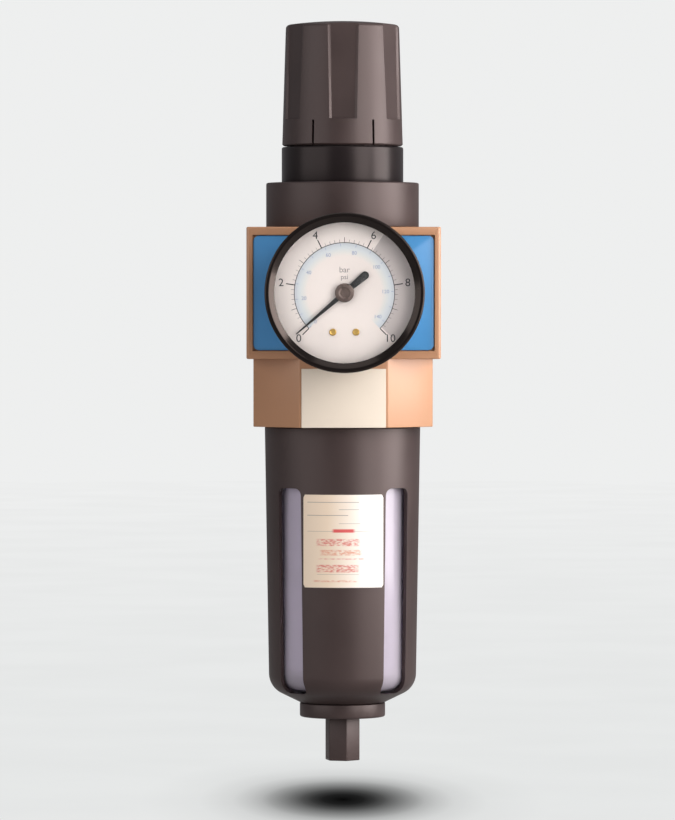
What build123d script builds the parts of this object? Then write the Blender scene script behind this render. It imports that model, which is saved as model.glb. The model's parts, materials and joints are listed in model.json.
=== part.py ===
"""A line-mounted compressed-air filter regulator with a round pressure gauge.

Lengths are millimetres. Z runs up the bowl axis and is zero at the drain's mouth.
The gauge looks along -Y. Air comes in at -X and goes out at +X.
Each section makes one sub-part and writes it as its own STEP file.
"""

import os
from math import asin, cos, degrees, pi, radians, sin, tan

from build123d import *

os.makedirs("parts", exist_ok=True)

# Clearances
running_fit = 0.05
thread_gap = 0.1
seat_gap = 0.3
slip_gap = 0.5

# Heights of the stack, from the drain up
drain_hex_length = 18.0
drain_nut_height = 5.8
guard_height = 115.2
block_height = 28.3
flange_height = 54.4
bonnet_height = 18.8
neck_ring_height = 14.9
knob_height = 52.0

z_nut = drain_hex_length + seat_gap
z_guard = z_nut + drain_nut_height + seat_gap
z_block = z_guard + guard_height + seat_gap
z_flange = z_block + block_height
z_port = z_flange + flange_height / 2
z_deck = z_flange + flange_height
z_bonnet = z_deck + seat_gap
z_bonnet_top = z_deck + bonnet_height
z_knob = z_bonnet_top + neck_ring_height + slip_gap
z_knob_top = z_knob + knob_height

# Body casting
flange_width = 80.0
flange_depth = 76.0
flange_corner = 1.2
block_width = 74.4
block_chamfer = 18.9
casting_edge = 0.6
panel_recess = 1.8
panel_rim_side = 2.5
panel_rim_top = 3.3

# Pipe ports, G 1/2, and gauge ports, G 1/4, as the plain bores of their minor diameters
port_radius = 18.63 / 2
port_depth = 16.0
port_spot_radius = 14.0
port_spot_depth = 0.6
passage_radius = 8.0
riser_radius = 6.0
gauge_port_radius = 11.45 / 2
gauge_port_depth = 13.0
sensing_radius = 1.5
sensing_riser_radius = 1.2

# Chambers inside the casting
hub_radius = 17.0
hub_drop = 2.3
annulus_radius = 27.5
annulus_height = 17.0
chamber_radius = 11.0
chamber_height = 32.0
seat_web = 8.0
control_radius = 25.0

# Bonnet and its neck
bonnet_radius = 31.9
neck_radius = 28.6
neck_height = 11.0
tower_radius = 20.6
tower_bore = 16.2
tower_height = 47.0
tower_roof = 4.0
bonnet_roof = 3.0
bonnet_edge = 0.5
key_width = 3.6
key_reach = 17.8
neck_ring_radius = 25.4
vent_radius = 0.7

# Diaphragm stack
diaphragm_thickness = 1.6
slip_ring_thickness = 1.0
plate_radius = 15.6
plate_thickness = 2.0
plate_rim = 1.0
plate_rim_height = 2.6
hub_pin_radius = 4.0
hub_flange_radius = 9.0
hub_flange_thickness = 2.0
hub_head_radius = 5.6
hub_head_height = 1.4
relief_radius = 1.0
convolution_inner = 17.6
convolution_outer = 23.6

# Valve
seat_bore = 6.5
seat_insert_radius = 9.0
seat_flange_radius = 11.0
seat_flange_thickness = 2.0
valve_gap = 0.2
lip_crest = 0.8
lip_root = 1.4
poppet_radius = 8.5
poppet_height = 6.0
poppet_seal_height = 2.0
stem_radius = 2.0
tail_radius = 3.0
guide_height = 6.0
guide_boss_radius = 5.0
guide_boss_height = 6.0
guide_hole_radius = 1.9
valve_stroke = 1.5

# Adjusting gear
screw_radius = 5.0
screw_flange_radius = 9.5
screw_flange_thickness = 3.0
screw_below_flange = 32.0
drive_hex = 8.6
drive_hex_length = 14.0
washer_thickness = 1.0
spring_seat_thickness = 3.5
spring_seat_boss_radius = 8.0
spring_seat_boss_height = 8.5
spring_seat_play = 2.0
knob_lift = 3.0

# Springs
main_coil_radius = 12.4
main_wire_radius = 1.6
main_turns = 5.5
valve_coil_radius = 6.6
valve_wire_radius = 0.6
valve_turns = 4.5
wire_sides = 8

# Knob
knob_bottom_radius = 25.2
knob_top_radius = 23.6
knob_wall = 2.5
knob_roof = 3.0
knob_crown = 2.2
knob_edge = 1.6
crown_bulge = 0.75
knob_foot_chamfer = 0.6
flute_count = 6
flute_top_width = 13.0
flute_foot_width = 11.4
flute_depth = 1.3
flute_foot_height = 10.8
slit_width = 1.0
slit_height = 10.4
knob_hub_radius = 8.5
flute_reach = 6.0

# Filter
deflector_height = 7.7
deflector_wall = 1.2
vane_count = 16
vane_thickness = 1.2
vane_slant = 40.0
element_outer = 19.0
element_inner = 14.0
element_length = 39.5
baffle_radius = 21.5
baffle_thickness = 3.0
tie_rod_radius = 3.0
spider_arms = 3
spider_thickness = 3.0
spider_boss_radius = 5.2

# Bowl and guard
bowl_radius = 28.3
bowl_wall = 2.5
bowl_rim_height = 4.3
bowl_flange_thickness = 3.2
bowl_corner = 13.0
bowl_floor = 3.0
bowl_foot_space = 3.2
bowl_boss_radius = 11.5
guard_top_radius = 32.5
guard_foot_radius = 30.7
guard_wall = 1.9
guard_neck_radius = 30.6
guard_neck_height = 16.5
guard_collar_height = 4.0
shoulder_slope = 26.0
shoulder_round = 9.0
slot_width = 13.0
slot_foot_height = 4.6
slot_height = 85.5
slot_corner = 3.0
slot_angles = (45, 135, 225, 315)
label_width = 33.0
label_height = 38.4
label_drop = 27.5
label_corner = 1.5
label_thickness = 0.2

# Bowl seal
seal_radius = 0.9
seal_squeeze = 0.4

# Drain
drain_nut_radius = 17.85
drain_nut_chamfer = 0.5
drain_shank_radius = 7.9
drain_flange_radius = 11.0
drain_flange_thickness = 2.5
drain_washer_thickness = 1.0
drain_hex = 13.0
drain_hex_turn = -17.5
drain_head = 2.0
drain_spindle_radius = 4.5
drain_bore_radius = 8.57 / 2
drain_bore_depth = 9.0
drain_passage_radius = 1.8

# Gauge
case_radius = 31.3
bezel_wall = 1.3
case_wall = 1.0
case_standoff = 6.0
case_depth = 22.0
bezel_length = 8.5
bezel_ledge = 2.7
bezel_lip = 1.2
bezel_cone_depth = 1.2
bezel_rim = 0.9
lens_thickness = 2.0
dial_thickness = 0.8
dial_setback = 3.4
wrench_square = 14.0
socket_neck_radius = 5.0
block_half_width = 5.0
block_top = 5.5
block_foot = 21.0
block_depth = 5.2
root_width = 6.0
root_reach = 13.0
plate_gap = 5.0
movement_plate = 1.0
pillar_radius = 1.6
frame_top = 5.5
frame_foot = 17.9
frame_corner = 2.5
pointer_thickness = 0.5
pointer_rest_angle = 220.5
pointer_length = 25.8
pointer_tail = 12.6
pointer_hub_radius = 3.9
pointer_hub_height = 0.8
pointer_clearance = 1.4
pointer_tip_width = 0.5
pointer_root_half = 1.1
pointer_tail_half = 1.65
arbor_radius = 0.8
dial_screw_radius = 1.45
dial_screw_spread = 4.7
dial_screw_drop = 15.9
dial_screw_height = 0.8
pinion_radius = 2.0
sector_ratio = 6.0
pinion_teeth = 10
sector_teeth = 10
sector_thickness = 1.2
tooth_backlash = 0.2
tooth_tip = 0.3
tooth_root = 0.45
tooth_tip_width = 0.22
tooth_flare = 0.16
tooth_bury = 0.15
bourdon_radius = 20.0
bourdon_thickness = 2.2
bourdon_depth = 6.0
bourdon_sweep = 245.0
tube_inset_angle = 1.0
plug_hex = 6.0
plug_hex_depth = 5.0
plug_length = 9.0

# Front and rear panels and the plate under the gauge
panel_thickness = 1.0
panel_gap = 0.3
panel_corner = 2.5
panel_hole_play = 1.5
name_plate_width = 34.8
name_plate_height = 24.3
name_plate_thickness = 0.5

# Places worked out from the sizes above
y_front = -flange_depth / 2
z_hub_foot = z_flange - hub_drop
z_annulus_top = z_hub_foot + annulus_height
z_chamber_top = z_hub_foot + chamber_height
z_control_floor = z_chamber_top + seat_web
z_neck_top = z_deck + neck_height
z_diaphragm_top = z_neck_top + diaphragm_thickness
z_ledge = z_diaphragm_top + slip_ring_thickness
z_plate_top = z_diaphragm_top + plate_thickness
z_tower_top = z_bonnet_top + tower_height
z_tower_ceiling = z_tower_top - tower_roof
z_screw_flange_top = z_tower_ceiling - washer_thickness
z_screw_flange = z_screw_flange_top - screw_flange_thickness
z_seat_top = z_screw_flange - spring_seat_play
z_seat_foot = z_seat_top - spring_seat_thickness
bowl_inner = bowl_radius - bowl_wall
z_guard_neck_top = z_guard + guard_height + guard_neck_height
z_bowl_flange = z_guard_neck_top + seat_gap
z_bowl_flange_top = z_bowl_flange + bowl_flange_thickness
z_bowl_ledge = z_bowl_flange_top + seat_gap
z_bowl_rim = z_bowl_flange_top + bowl_rim_height
guard_socket_radius = guard_neck_radius + seat_gap
bowl_socket_radius = bowl_radius + slip_gap
z_bowl_foot = z_nut + drain_nut_height
z_deflector = z_hub_foot - seat_gap - deflector_height
z_element = z_deflector - element_length
z_baffle = z_element - baffle_thickness


def write(sub_part, name):
    """Labels a finished sub-part and writes it under its own name."""
    sub_part.part.label = name
    export_step(sub_part.part, f"parts/{name}.step")


def tooth(pitch_width, foot_width):
    """A gear tooth's outline, pointing outward from a place on the pitch circle."""
    Polygon(
        (-tooth_root - tooth_bury, -foot_width / 2),
        (-tooth_root, -foot_width / 2),
        (0, -pitch_width / 2),
        (tooth_tip, -tooth_tip_width / 2),
        (tooth_tip, tooth_tip_width / 2),
        (0, pitch_width / 2),
        (-tooth_root, foot_width / 2),
        (-tooth_root - tooth_bury, foot_width / 2),
        align=None,
    )


def corner(profile, radius, height):
    """The corner of a turned part's profile that lies nearest to a radius and a height."""
    return profile.vertices().sort_by_distance((radius, height, 0))[0]


# Body casting: square flange block, octagonal lower block and threaded neck
panel_width = flange_width - 2 * panel_rim_side
panel_height = flange_height - 2 * panel_rim_top
inlet_riser_x = (hub_radius + annulus_radius) / 2
outlet_riser_x = control_radius - riser_radius - slip_gap
sensing_y = control_radius - 2 * sensing_radius

with BuildPart() as body_casting:
    with BuildSketch(Plane.XY.offset(z_flange)):
        RectangleRounded(flange_width, flange_depth, flange_corner)
    extrude(amount=flange_height)
    chamfer(body_casting.edges().filter_by(Plane.XY), length=casting_edge)
    with BuildSketch(Plane.XY.offset(z_block)) as block_outline:
        Rectangle(block_width, block_width)
        chamfer(block_outline.vertices(), length=block_chamfer)
    extrude(amount=block_height + slip_gap)
    with BuildSketch(Plane.XY.offset(z_deck)):
        Circle(neck_radius)
    extrude(amount=neck_height)

    # The bowl socket and the ring-shaped inlet gallery around the central hub
    with BuildSketch(Plane.XZ):
        with BuildLine():
            Polyline(
                (0, z_block),
                (guard_socket_radius, z_block),
                (guard_socket_radius, z_bowl_ledge),
                (bowl_socket_radius, z_bowl_ledge),
                (bowl_socket_radius, z_hub_foot),
                (annulus_radius, z_hub_foot),
                (annulus_radius, z_annulus_top),
                (hub_radius, z_annulus_top),
                (hub_radius, z_hub_foot),
                (chamber_radius, z_hub_foot),
                (chamber_radius, z_chamber_top),
                (seat_insert_radius + running_fit, z_chamber_top),
                (seat_insert_radius + running_fit, z_control_floor),
                (control_radius, z_control_floor),
                (control_radius, z_neck_top),
                (0, z_neck_top),
                close=True,
            )
        make_face()
    revolve(axis=Axis.Z, mode=Mode.SUBTRACT)

    # Pipe ports with their passages, the inlet down and the outlet up
    for side, riser_x in ((-1, inlet_riser_x), (1, outlet_riser_x)):
        mouth = Plane(origin=(side * flange_width / 2, 0, z_port), z_dir=(-side, 0, 0))
        with BuildSketch(mouth):
            Circle(port_spot_radius)
        extrude(amount=port_spot_depth, mode=Mode.SUBTRACT)
        with BuildSketch(mouth):
            Circle(port_radius)
        extrude(amount=port_depth + port_spot_depth, mode=Mode.SUBTRACT)
        with BuildSketch(mouth):
            Circle(passage_radius)
        extrude(amount=flange_width / 2 - riser_x + riser_radius / 2, mode=Mode.SUBTRACT)
    with BuildSketch(Plane(origin=(-inlet_riser_x, 0, z_port), z_dir=(0, 0, -1))):
        Circle(riser_radius - slip_gap)
    extrude(amount=z_port - z_annulus_top + slip_gap, mode=Mode.SUBTRACT)
    with BuildSketch(Plane(origin=(outlet_riser_x, 0, z_port), z_dir=(0, 0, 1))):
        Circle(riser_radius)
    extrude(amount=z_control_floor - z_port + slip_gap, mode=Mode.SUBTRACT)

    # Panel recesses and gauge ports, front and back, each with its sensing hole
    for side in (-1, 1):
        face = Plane(origin=(0, side * flange_depth / 2, z_port), x_dir=(1, 0, 0), z_dir=(0, -side, 0))
        with BuildSketch(face):
            Rectangle(panel_width, panel_height)
        extrude(amount=panel_recess, mode=Mode.SUBTRACT)
        with BuildSketch(face):
            Circle(gauge_port_radius)
        extrude(amount=gauge_port_depth, mode=Mode.SUBTRACT)
        with BuildSketch(face):
            Circle(sensing_radius)
        extrude(amount=flange_depth / 2 - sensing_y + sensing_radius, mode=Mode.SUBTRACT)
        with BuildSketch(Plane(origin=(0, side * sensing_y, z_port), z_dir=(0, 0, 1))):
            Circle(sensing_riser_radius)
        extrude(amount=z_control_floor - z_port + slip_gap, mode=Mode.SUBTRACT)
write(body_casting, "body_casting")

# Coloured panels in the two recesses, with a hole at the gauge port
panel_hole_radius = wrench_square / 2 + panel_hole_play
for name, side in (("front_panel", -1), ("rear_panel", 1)):
    back = side * (flange_depth / 2 - panel_recess)
    with BuildPart() as panel:
        with BuildSketch(Plane(origin=(0, back, z_port), x_dir=(1, 0, 0), z_dir=(0, side, 0))):
            RectangleRounded(panel_width - 2 * panel_gap, panel_height - 2 * panel_gap, panel_corner)
            Circle(panel_hole_radius, mode=Mode.SUBTRACT)
        extrude(amount=panel_thickness)
    write(panel, name)

# Plate on the front facet of the lower block
with BuildPart() as name_plate:
    with BuildSketch(
        Plane(
            origin=(0, -block_width / 2, z_block + name_plate_height / 2),
            x_dir=(1, 0, 0),
            z_dir=(0, -1, 0),
        )
    ):
        Rectangle(name_plate_width, name_plate_height)
    extrude(amount=name_plate_thickness)
write(name_plate, "name_plate")

# Plug in the unused rear gauge port
y_plug_face = flange_depth / 2 - panel_recess + panel_thickness
with BuildPart() as rear_plug:
    with BuildSketch(Plane(origin=(0, y_plug_face, z_port), z_dir=(0, -1, 0))):
        Circle(gauge_port_radius - running_fit)
    extrude(amount=plug_length)
    chamfer(rear_plug.edges().sort_by(Axis.Y)[-1], length=slip_gap)
    with BuildSketch(Plane(origin=(0, y_plug_face, z_port), z_dir=(0, -1, 0))):
        RegularPolygon(plug_hex / 2, 6, major_radius=False)
    extrude(amount=plug_hex_depth, mode=Mode.SUBTRACT)
write(rear_plug, "rear_plug")

# Bonnet: a skirt that screws on the neck, a roof and the spring tower
with BuildPart() as bonnet:
    with BuildSketch(Plane.XZ):
        with BuildLine():
            Polyline(
                (neck_radius + thread_gap, z_bonnet),
                (bonnet_radius, z_bonnet),
                (bonnet_radius, z_bonnet_top - bonnet_edge),
                (bonnet_radius - bonnet_edge, z_bonnet_top),
                (tower_radius, z_bonnet_top),
                (tower_radius, z_tower_top - bonnet_edge),
                (tower_radius - bonnet_edge, z_tower_top),
                (screw_radius + running_fit, z_tower_top),
                (screw_radius + running_fit, z_tower_ceiling),
                (tower_bore, z_tower_ceiling),
                (tower_bore, z_bonnet_top - bonnet_roof),
                (control_radius, z_bonnet_top - bonnet_roof),
                (control_radius, z_ledge),
                (neck_radius + thread_gap, z_ledge),
                close=True,
            )
        make_face()
    revolve(axis=Axis.Z)
    # Two keyways that keep the spring seat from turning
    with BuildSketch(Plane.XY.offset(z_bonnet_top - bonnet_roof)):
        Rectangle(2 * (key_reach + seat_gap), key_width + 2 * seat_gap)
    extrude(amount=z_tower_ceiling - z_bonnet_top + bonnet_roof, mode=Mode.SUBTRACT)
    # Breather hole at the back
    with BuildSketch(Plane.XZ.offset(-bonnet_radius)):
        with Locations((0, z_ledge + vent_radius)):
            Circle(vent_radius)
    extrude(amount=bonnet_radius - control_radius + slip_gap, mode=Mode.SUBTRACT)
write(bonnet, "bonnet")

# Plain round ring nut on the tower, for a panel or a bracket
with BuildPart() as neck_ring:
    with BuildSketch(Plane.XY.offset(z_bonnet_top)):
        Circle(neck_ring_radius)
        Circle(tower_radius + thread_gap, mode=Mode.SUBTRACT)
    extrude(amount=neck_ring_height)
    ring_top = neck_ring.edges().group_by(Axis.Z)[-1].sort_by(SortBy.LENGTH)[-1]
    chamfer(ring_top, length=knob_foot_chamfer)
write(neck_ring, "neck_ring")

# Knob: a tapered hollow cap with six flutes, six spring slits and a crowned top
taper = (knob_bottom_radius - knob_top_radius) / knob_height
z_crown_edge = z_knob_top - knob_crown
radius_at_crown_edge = knob_bottom_radius - taper * (z_crown_edge - z_knob)
z_knob_ceiling = z_crown_edge - knob_roof
# One flute cutter, lofted between its foot and the open top
z_flute = z_knob + flute_foot_height
with BuildPart() as flute_cutter:
    for height, width in ((z_flute, flute_foot_width), (z_knob_top + slip_gap, flute_top_width)):
        floor = knob_bottom_radius - taper * (height - z_knob) - flute_depth
        with BuildSketch(Plane.XY.offset(height)):
            with Locations((floor + flute_reach / 2, 0)):
                Rectangle(flute_reach, width)
    loft()

with BuildPart() as knob:
    with BuildSketch(Plane.XZ) as outside:
        with BuildLine():
            Polyline(
                (0, z_knob),
                (knob_bottom_radius - knob_foot_chamfer, z_knob),
                (knob_bottom_radius, z_knob + knob_foot_chamfer),
                (radius_at_crown_edge, z_crown_edge),
            )
            ThreePointArc(
                (radius_at_crown_edge, z_crown_edge),
                (radius_at_crown_edge / 2, z_crown_edge + crown_bulge * knob_crown),
                (0, z_knob_top),
            )
            Line((0, z_knob_top), (0, z_knob))
        make_face()
        fillet(corner(outside, radius_at_crown_edge, z_crown_edge), radius=knob_edge)
    revolve(axis=Axis.Z)
    with PolarLocations(0, flute_count, start_angle=-90):
        add(flute_cutter.part, mode=Mode.SUBTRACT)
    with BuildSketch(Plane.XZ):
        with BuildLine():
            Polyline(
                (0, z_knob),
                (knob_bottom_radius - knob_wall, z_knob),
                (radius_at_crown_edge - knob_wall, z_knob_ceiling),
                (0, z_knob_ceiling),
                close=True,
            )
        make_face()
    revolve(axis=Axis.Z, mode=Mode.SUBTRACT)
    with BuildSketch(Plane.XY.offset(z_tower_top + seat_gap)):
        Circle(knob_hub_radius)
    extrude(amount=z_knob_ceiling - z_tower_top)
    with BuildSketch(Plane.XY.offset(z_tower_top + seat_gap)):
        RegularPolygon(drive_hex / 2 + running_fit, 6, major_radius=False)
    extrude(amount=drive_hex_length - knob_lift + slip_gap, mode=Mode.SUBTRACT)
    with BuildSketch(Plane.XY.offset(z_knob)):
        with PolarLocations(knob_bottom_radius, flute_count, start_angle=-60):
            Rectangle(4 * knob_wall, slit_width)
    extrude(amount=slit_height, mode=Mode.SUBTRACT)
write(knob, "knob")

# Adjusting screw: journal and hexagon above its flange, thread below
with BuildPart() as adjusting_screw:
    with BuildSketch(Plane.XZ):
        with BuildLine():
            Polyline(
                (0, z_screw_flange - screw_below_flange),
                (screw_radius - bonnet_edge, z_screw_flange - screw_below_flange),
                (screw_radius, z_screw_flange - screw_below_flange + bonnet_edge),
                (screw_radius, z_screw_flange),
                (screw_flange_radius, z_screw_flange),
                (screw_flange_radius, z_screw_flange_top),
                (screw_radius, z_screw_flange_top),
                (screw_radius, z_tower_top + seat_gap),
                (0, z_tower_top + seat_gap),
                close=True,
            )
        make_face()
    revolve(axis=Axis.Z)
    with BuildSketch(Plane.XY.offset(z_tower_top + seat_gap)):
        RegularPolygon(drive_hex / 2, 6, major_radius=False)
    extrude(amount=drive_hex_length - knob_lift)
write(adjusting_screw, "adjusting_screw")

# Thrust washer between the screw's flange and the tower's ceiling
with BuildPart() as thrust_washer:
    with BuildSketch(Plane.XY.offset(z_screw_flange_top)):
        Circle(screw_flange_radius)
        Circle(screw_radius + running_fit, mode=Mode.SUBTRACT)
    extrude(amount=washer_thickness - running_fit)
write(thrust_washer, "thrust_washer")

# Spring seat: a nut on the adjusting screw, keyed to the tower
with BuildPart() as spring_seat:
    with BuildSketch(Plane.XY.offset(z_seat_foot)):
        Circle(tower_bore - slip_gap)
        Rectangle(2 * key_reach, key_width)
    extrude(amount=spring_seat_thickness)
    with BuildSketch(Plane.XY.offset(z_seat_foot - spring_seat_boss_height)):
        Circle(spring_seat_boss_radius)
    extrude(amount=spring_seat_boss_height)
    with BuildSketch(Plane.XY.offset(z_seat_foot - spring_seat_boss_height)):
        Circle(screw_radius + running_fit)
    extrude(amount=spring_seat_boss_height + spring_seat_thickness, mode=Mode.SUBTRACT)
write(spring_seat, "spring_seat")


def coil_spring(name, foot, top, coil_radius, wire_radius, turns):
    """A compression spring with ground ends, standing from foot to top."""
    pitch = (top - foot) / turns
    start = foot - wire_radius / 2
    height = top - foot + wire_radius
    with BuildPart() as coil:
        with BuildLine(Plane.XY.offset(start)) as path:
            Helix(pitch=pitch * height / (top - foot), height=height, radius=coil_radius)
        with BuildSketch(path.line ^ 0):
            RegularPolygon(wire_radius, wire_sides)
        sweep(is_frenet=True)
        with BuildSketch(Plane.XY.offset(foot - 2 * wire_radius)):
            Circle(coil_radius + 2 * wire_radius)
        extrude(amount=2 * wire_radius, mode=Mode.SUBTRACT)
        with BuildSketch(Plane.XY.offset(top)):
            Circle(coil_radius + 2 * wire_radius)
        extrude(amount=2 * wire_radius, mode=Mode.SUBTRACT)
    write(coil, name)


coil_spring("main_spring", z_plate_top, z_seat_foot, main_coil_radius, main_wire_radius, main_turns)

# Diaphragm with one rolled convolution
with BuildPart() as diaphragm:
    with BuildSketch(Plane.XZ):
        with BuildLine():
            roll_middle = (convolution_inner + convolution_outer) / 2
            roll_radius = (convolution_outer - convolution_inner) / 2
            outer_edge = neck_radius - thread_gap
            inner_roll = roll_radius - diaphragm_thickness
            Polyline(
                (convolution_inner, z_diaphragm_top),
                (hub_pin_radius + running_fit, z_diaphragm_top),
                (hub_pin_radius + running_fit, z_neck_top),
                (roll_middle - inner_roll, z_neck_top),
            )
            ThreePointArc(
                (roll_middle - inner_roll, z_neck_top),
                (roll_middle, z_neck_top + inner_roll),
                (roll_middle + inner_roll, z_neck_top),
            )
            Polyline(
                (roll_middle + inner_roll, z_neck_top),
                (outer_edge, z_neck_top),
                (outer_edge, z_diaphragm_top),
                (convolution_outer, z_diaphragm_top),
            )
            ThreePointArc(
                (convolution_outer, z_diaphragm_top),
                (roll_middle, z_neck_top + roll_radius),
                (convolution_inner, z_diaphragm_top),
            )
        make_face()
    revolve(axis=Axis.Z)
write(diaphragm, "diaphragm")

# Slip ring that lets the bonnet turn on the diaphragm as it is screwed down
with BuildPart() as slip_ring:
    with BuildSketch(Plane.XY.offset(z_diaphragm_top)):
        Circle(neck_radius - thread_gap)
        Circle(control_radius, mode=Mode.SUBTRACT)
    extrude(amount=slip_ring_thickness)
write(slip_ring, "slip_ring")

# Dished plate over the diaphragm, which centres the main spring
with BuildPart() as diaphragm_plate:
    with BuildSketch(Plane.XY.offset(z_diaphragm_top)):
        Circle(plate_radius)
    extrude(amount=plate_thickness + plate_rim_height)
    with BuildSketch(Plane.XY.offset(z_plate_top)):
        Circle(plate_radius - plate_rim)
    extrude(amount=plate_rim_height, mode=Mode.SUBTRACT)
    with BuildSketch(Plane.XY.offset(z_diaphragm_top)):
        Circle(hub_pin_radius + running_fit)
    extrude(amount=plate_thickness, mode=Mode.SUBTRACT)
write(diaphragm_plate, "diaphragm_plate")

# Riveted hub through plate and diaphragm, with the relief hole down its middle
with BuildPart() as diaphragm_hub:
    with BuildSketch(Plane.XZ):
        with BuildLine():
            Polyline(
                (relief_radius, z_neck_top - hub_flange_thickness),
                (hub_flange_radius, z_neck_top - hub_flange_thickness),
                (hub_flange_radius, z_neck_top),
                (hub_pin_radius, z_neck_top),
                (hub_pin_radius, z_plate_top),
                (hub_head_radius, z_plate_top),
                (hub_head_radius - bonnet_edge, z_plate_top + hub_head_height),
                (relief_radius, z_plate_top + hub_head_height),
                close=True,
            )
        make_face()
    revolve(axis=Axis.Z)
write(diaphragm_hub, "diaphragm_hub")

# Valve seat, a flanged brass insert with a raised lip under it
z_lip = z_chamber_top - slip_gap
with BuildPart() as valve_seat:
    with BuildSketch(Plane.XZ):
        with BuildLine():
            Polyline(
                (seat_bore, z_lip),
                (seat_bore + lip_crest, z_lip),
                (seat_bore + lip_root, z_chamber_top),
                (seat_insert_radius, z_chamber_top),
                (seat_insert_radius, z_control_floor),
                (seat_flange_radius, z_control_floor),
                (seat_flange_radius, z_control_floor + seat_flange_thickness),
                (seat_bore, z_control_floor + seat_flange_thickness),
                close=True,
            )
        make_face()
    revolve(axis=Axis.Z)
write(valve_seat, "valve_seat")

# Valve poppet with its push stem above and its guided tail below
z_poppet_top = z_lip - valve_gap - poppet_seal_height
z_poppet = z_poppet_top - poppet_height
z_stem_top = z_neck_top - hub_flange_thickness
with BuildPart() as valve_poppet:
    with BuildSketch(Plane.XZ):
        with BuildLine():
            Polyline(
                (0, z_hub_foot + valve_stroke),
                (tail_radius, z_hub_foot + valve_stroke),
                (tail_radius, z_poppet),
                (poppet_radius, z_poppet),
                (poppet_radius, z_poppet_top),
                (stem_radius, z_poppet_top),
                (stem_radius, z_stem_top - stem_radius),
                (relief_radius / 2, z_stem_top),
                (0, z_stem_top),
                close=True,
            )
        make_face()
    revolve(axis=Axis.Z)
write(valve_poppet, "valve_poppet")

# Rubber disc that closes on the seat's lip
with BuildPart() as poppet_seal:
    with BuildSketch(Plane.XY.offset(z_poppet_top)):
        Circle(poppet_radius)
        Circle(stem_radius, mode=Mode.SUBTRACT)
    extrude(amount=poppet_seal_height)
write(poppet_seal, "poppet_seal")

# Valve guide screwed in the foot of the hub, pierced for the air
guide_hole_circle = (guide_boss_radius + chamber_radius) / 2
with BuildPart() as valve_guide:
    with BuildSketch(Plane.XY.offset(z_hub_foot)):
        Circle(chamber_radius - running_fit)
        with PolarLocations(guide_hole_circle, 6):
            Circle(guide_hole_radius, mode=Mode.SUBTRACT)
    extrude(amount=guide_height)
    with BuildSketch(Plane.XY.offset(z_hub_foot + guide_height)):
        Circle(guide_boss_radius)
    extrude(amount=guide_boss_height)
    with BuildSketch(Plane.XY.offset(z_hub_foot)):
        Circle(tail_radius + running_fit)
    extrude(amount=guide_height + guide_boss_height, mode=Mode.SUBTRACT)
write(valve_guide, "valve_guide")

coil_spring(
    "valve_spring",
    z_hub_foot + guide_height,
    z_poppet,
    valve_coil_radius,
    valve_wire_radius,
    valve_turns,
)

# Swirl deflector: slanted vanes between two rings, with a spider for the tie rod
deflector_radius = bowl_inner - slip_gap
vane_span = deflector_radius - deflector_wall - hub_radius
vane_lean = deflector_height * tan(radians(vane_slant))
with BuildPart() as vane:
    with BuildSketch(Plane.YZ.offset(hub_radius - slip_gap)):
        with BuildLine():
            Polyline(
                (-vane_lean / 2, z_deflector),
                (vane_thickness - vane_lean / 2, z_deflector),
                (vane_thickness + vane_lean / 2, z_deflector + deflector_height),
                (vane_lean / 2, z_deflector + deflector_height),
                close=True,
            )
        make_face()
    extrude(amount=vane_span + 2 * slip_gap)

with BuildPart() as deflector:
    with BuildSketch(Plane.XY.offset(z_deflector)):
        Circle(deflector_radius)
        Circle(deflector_radius - deflector_wall, mode=Mode.SUBTRACT)
    extrude(amount=deflector_height)
    with PolarLocations(0, vane_count):
        add(vane.part)
    with BuildSketch(Plane.XY.offset(z_deflector)):
        Circle(hub_radius)
    extrude(amount=deflector_height)
    with BuildSketch(Plane.XY.offset(z_deflector + spider_thickness)):
        Circle(element_inner)
    extrude(amount=deflector_height - spider_thickness, mode=Mode.SUBTRACT)
    with BuildSketch(Plane.XY.offset(z_deflector)):
        Circle(element_inner)
        Circle(spider_boss_radius, mode=Mode.SUBTRACT)
        with PolarLocations(element_inner / 2, spider_arms):
            Rectangle(element_inner + 2 * slip_gap, tie_rod_radius, mode=Mode.SUBTRACT)
    extrude(amount=spider_thickness, mode=Mode.SUBTRACT)
    with BuildSketch(Plane.XY.offset(z_deflector)):
        Circle(tie_rod_radius + running_fit)
    extrude(amount=spider_thickness, mode=Mode.SUBTRACT)
write(deflector, "deflector")

# Porous filter element
with BuildPart() as filter_element:
    with BuildSketch(Plane.XY.offset(z_element)):
        Circle(element_outer)
        Circle(element_inner, mode=Mode.SUBTRACT)
    extrude(amount=element_length)
write(filter_element, "filter_element")

# Baffle with the tie rod that clamps the element to the deflector
with BuildPart() as baffle:
    with BuildSketch(Plane.XZ):
        with BuildLine():
            Polyline(
                (0, z_baffle),
                (baffle_radius, z_baffle),
                (baffle_radius, z_baffle + baffle_thickness / 2),
                (element_outer, z_element),
                (tie_rod_radius, z_element),
                (tie_rod_radius, z_deflector + spider_thickness),
                (0, z_deflector + spider_thickness),
                close=True,
            )
        make_face()
    revolve(axis=Axis.Z)
write(baffle, "baffle")

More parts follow.
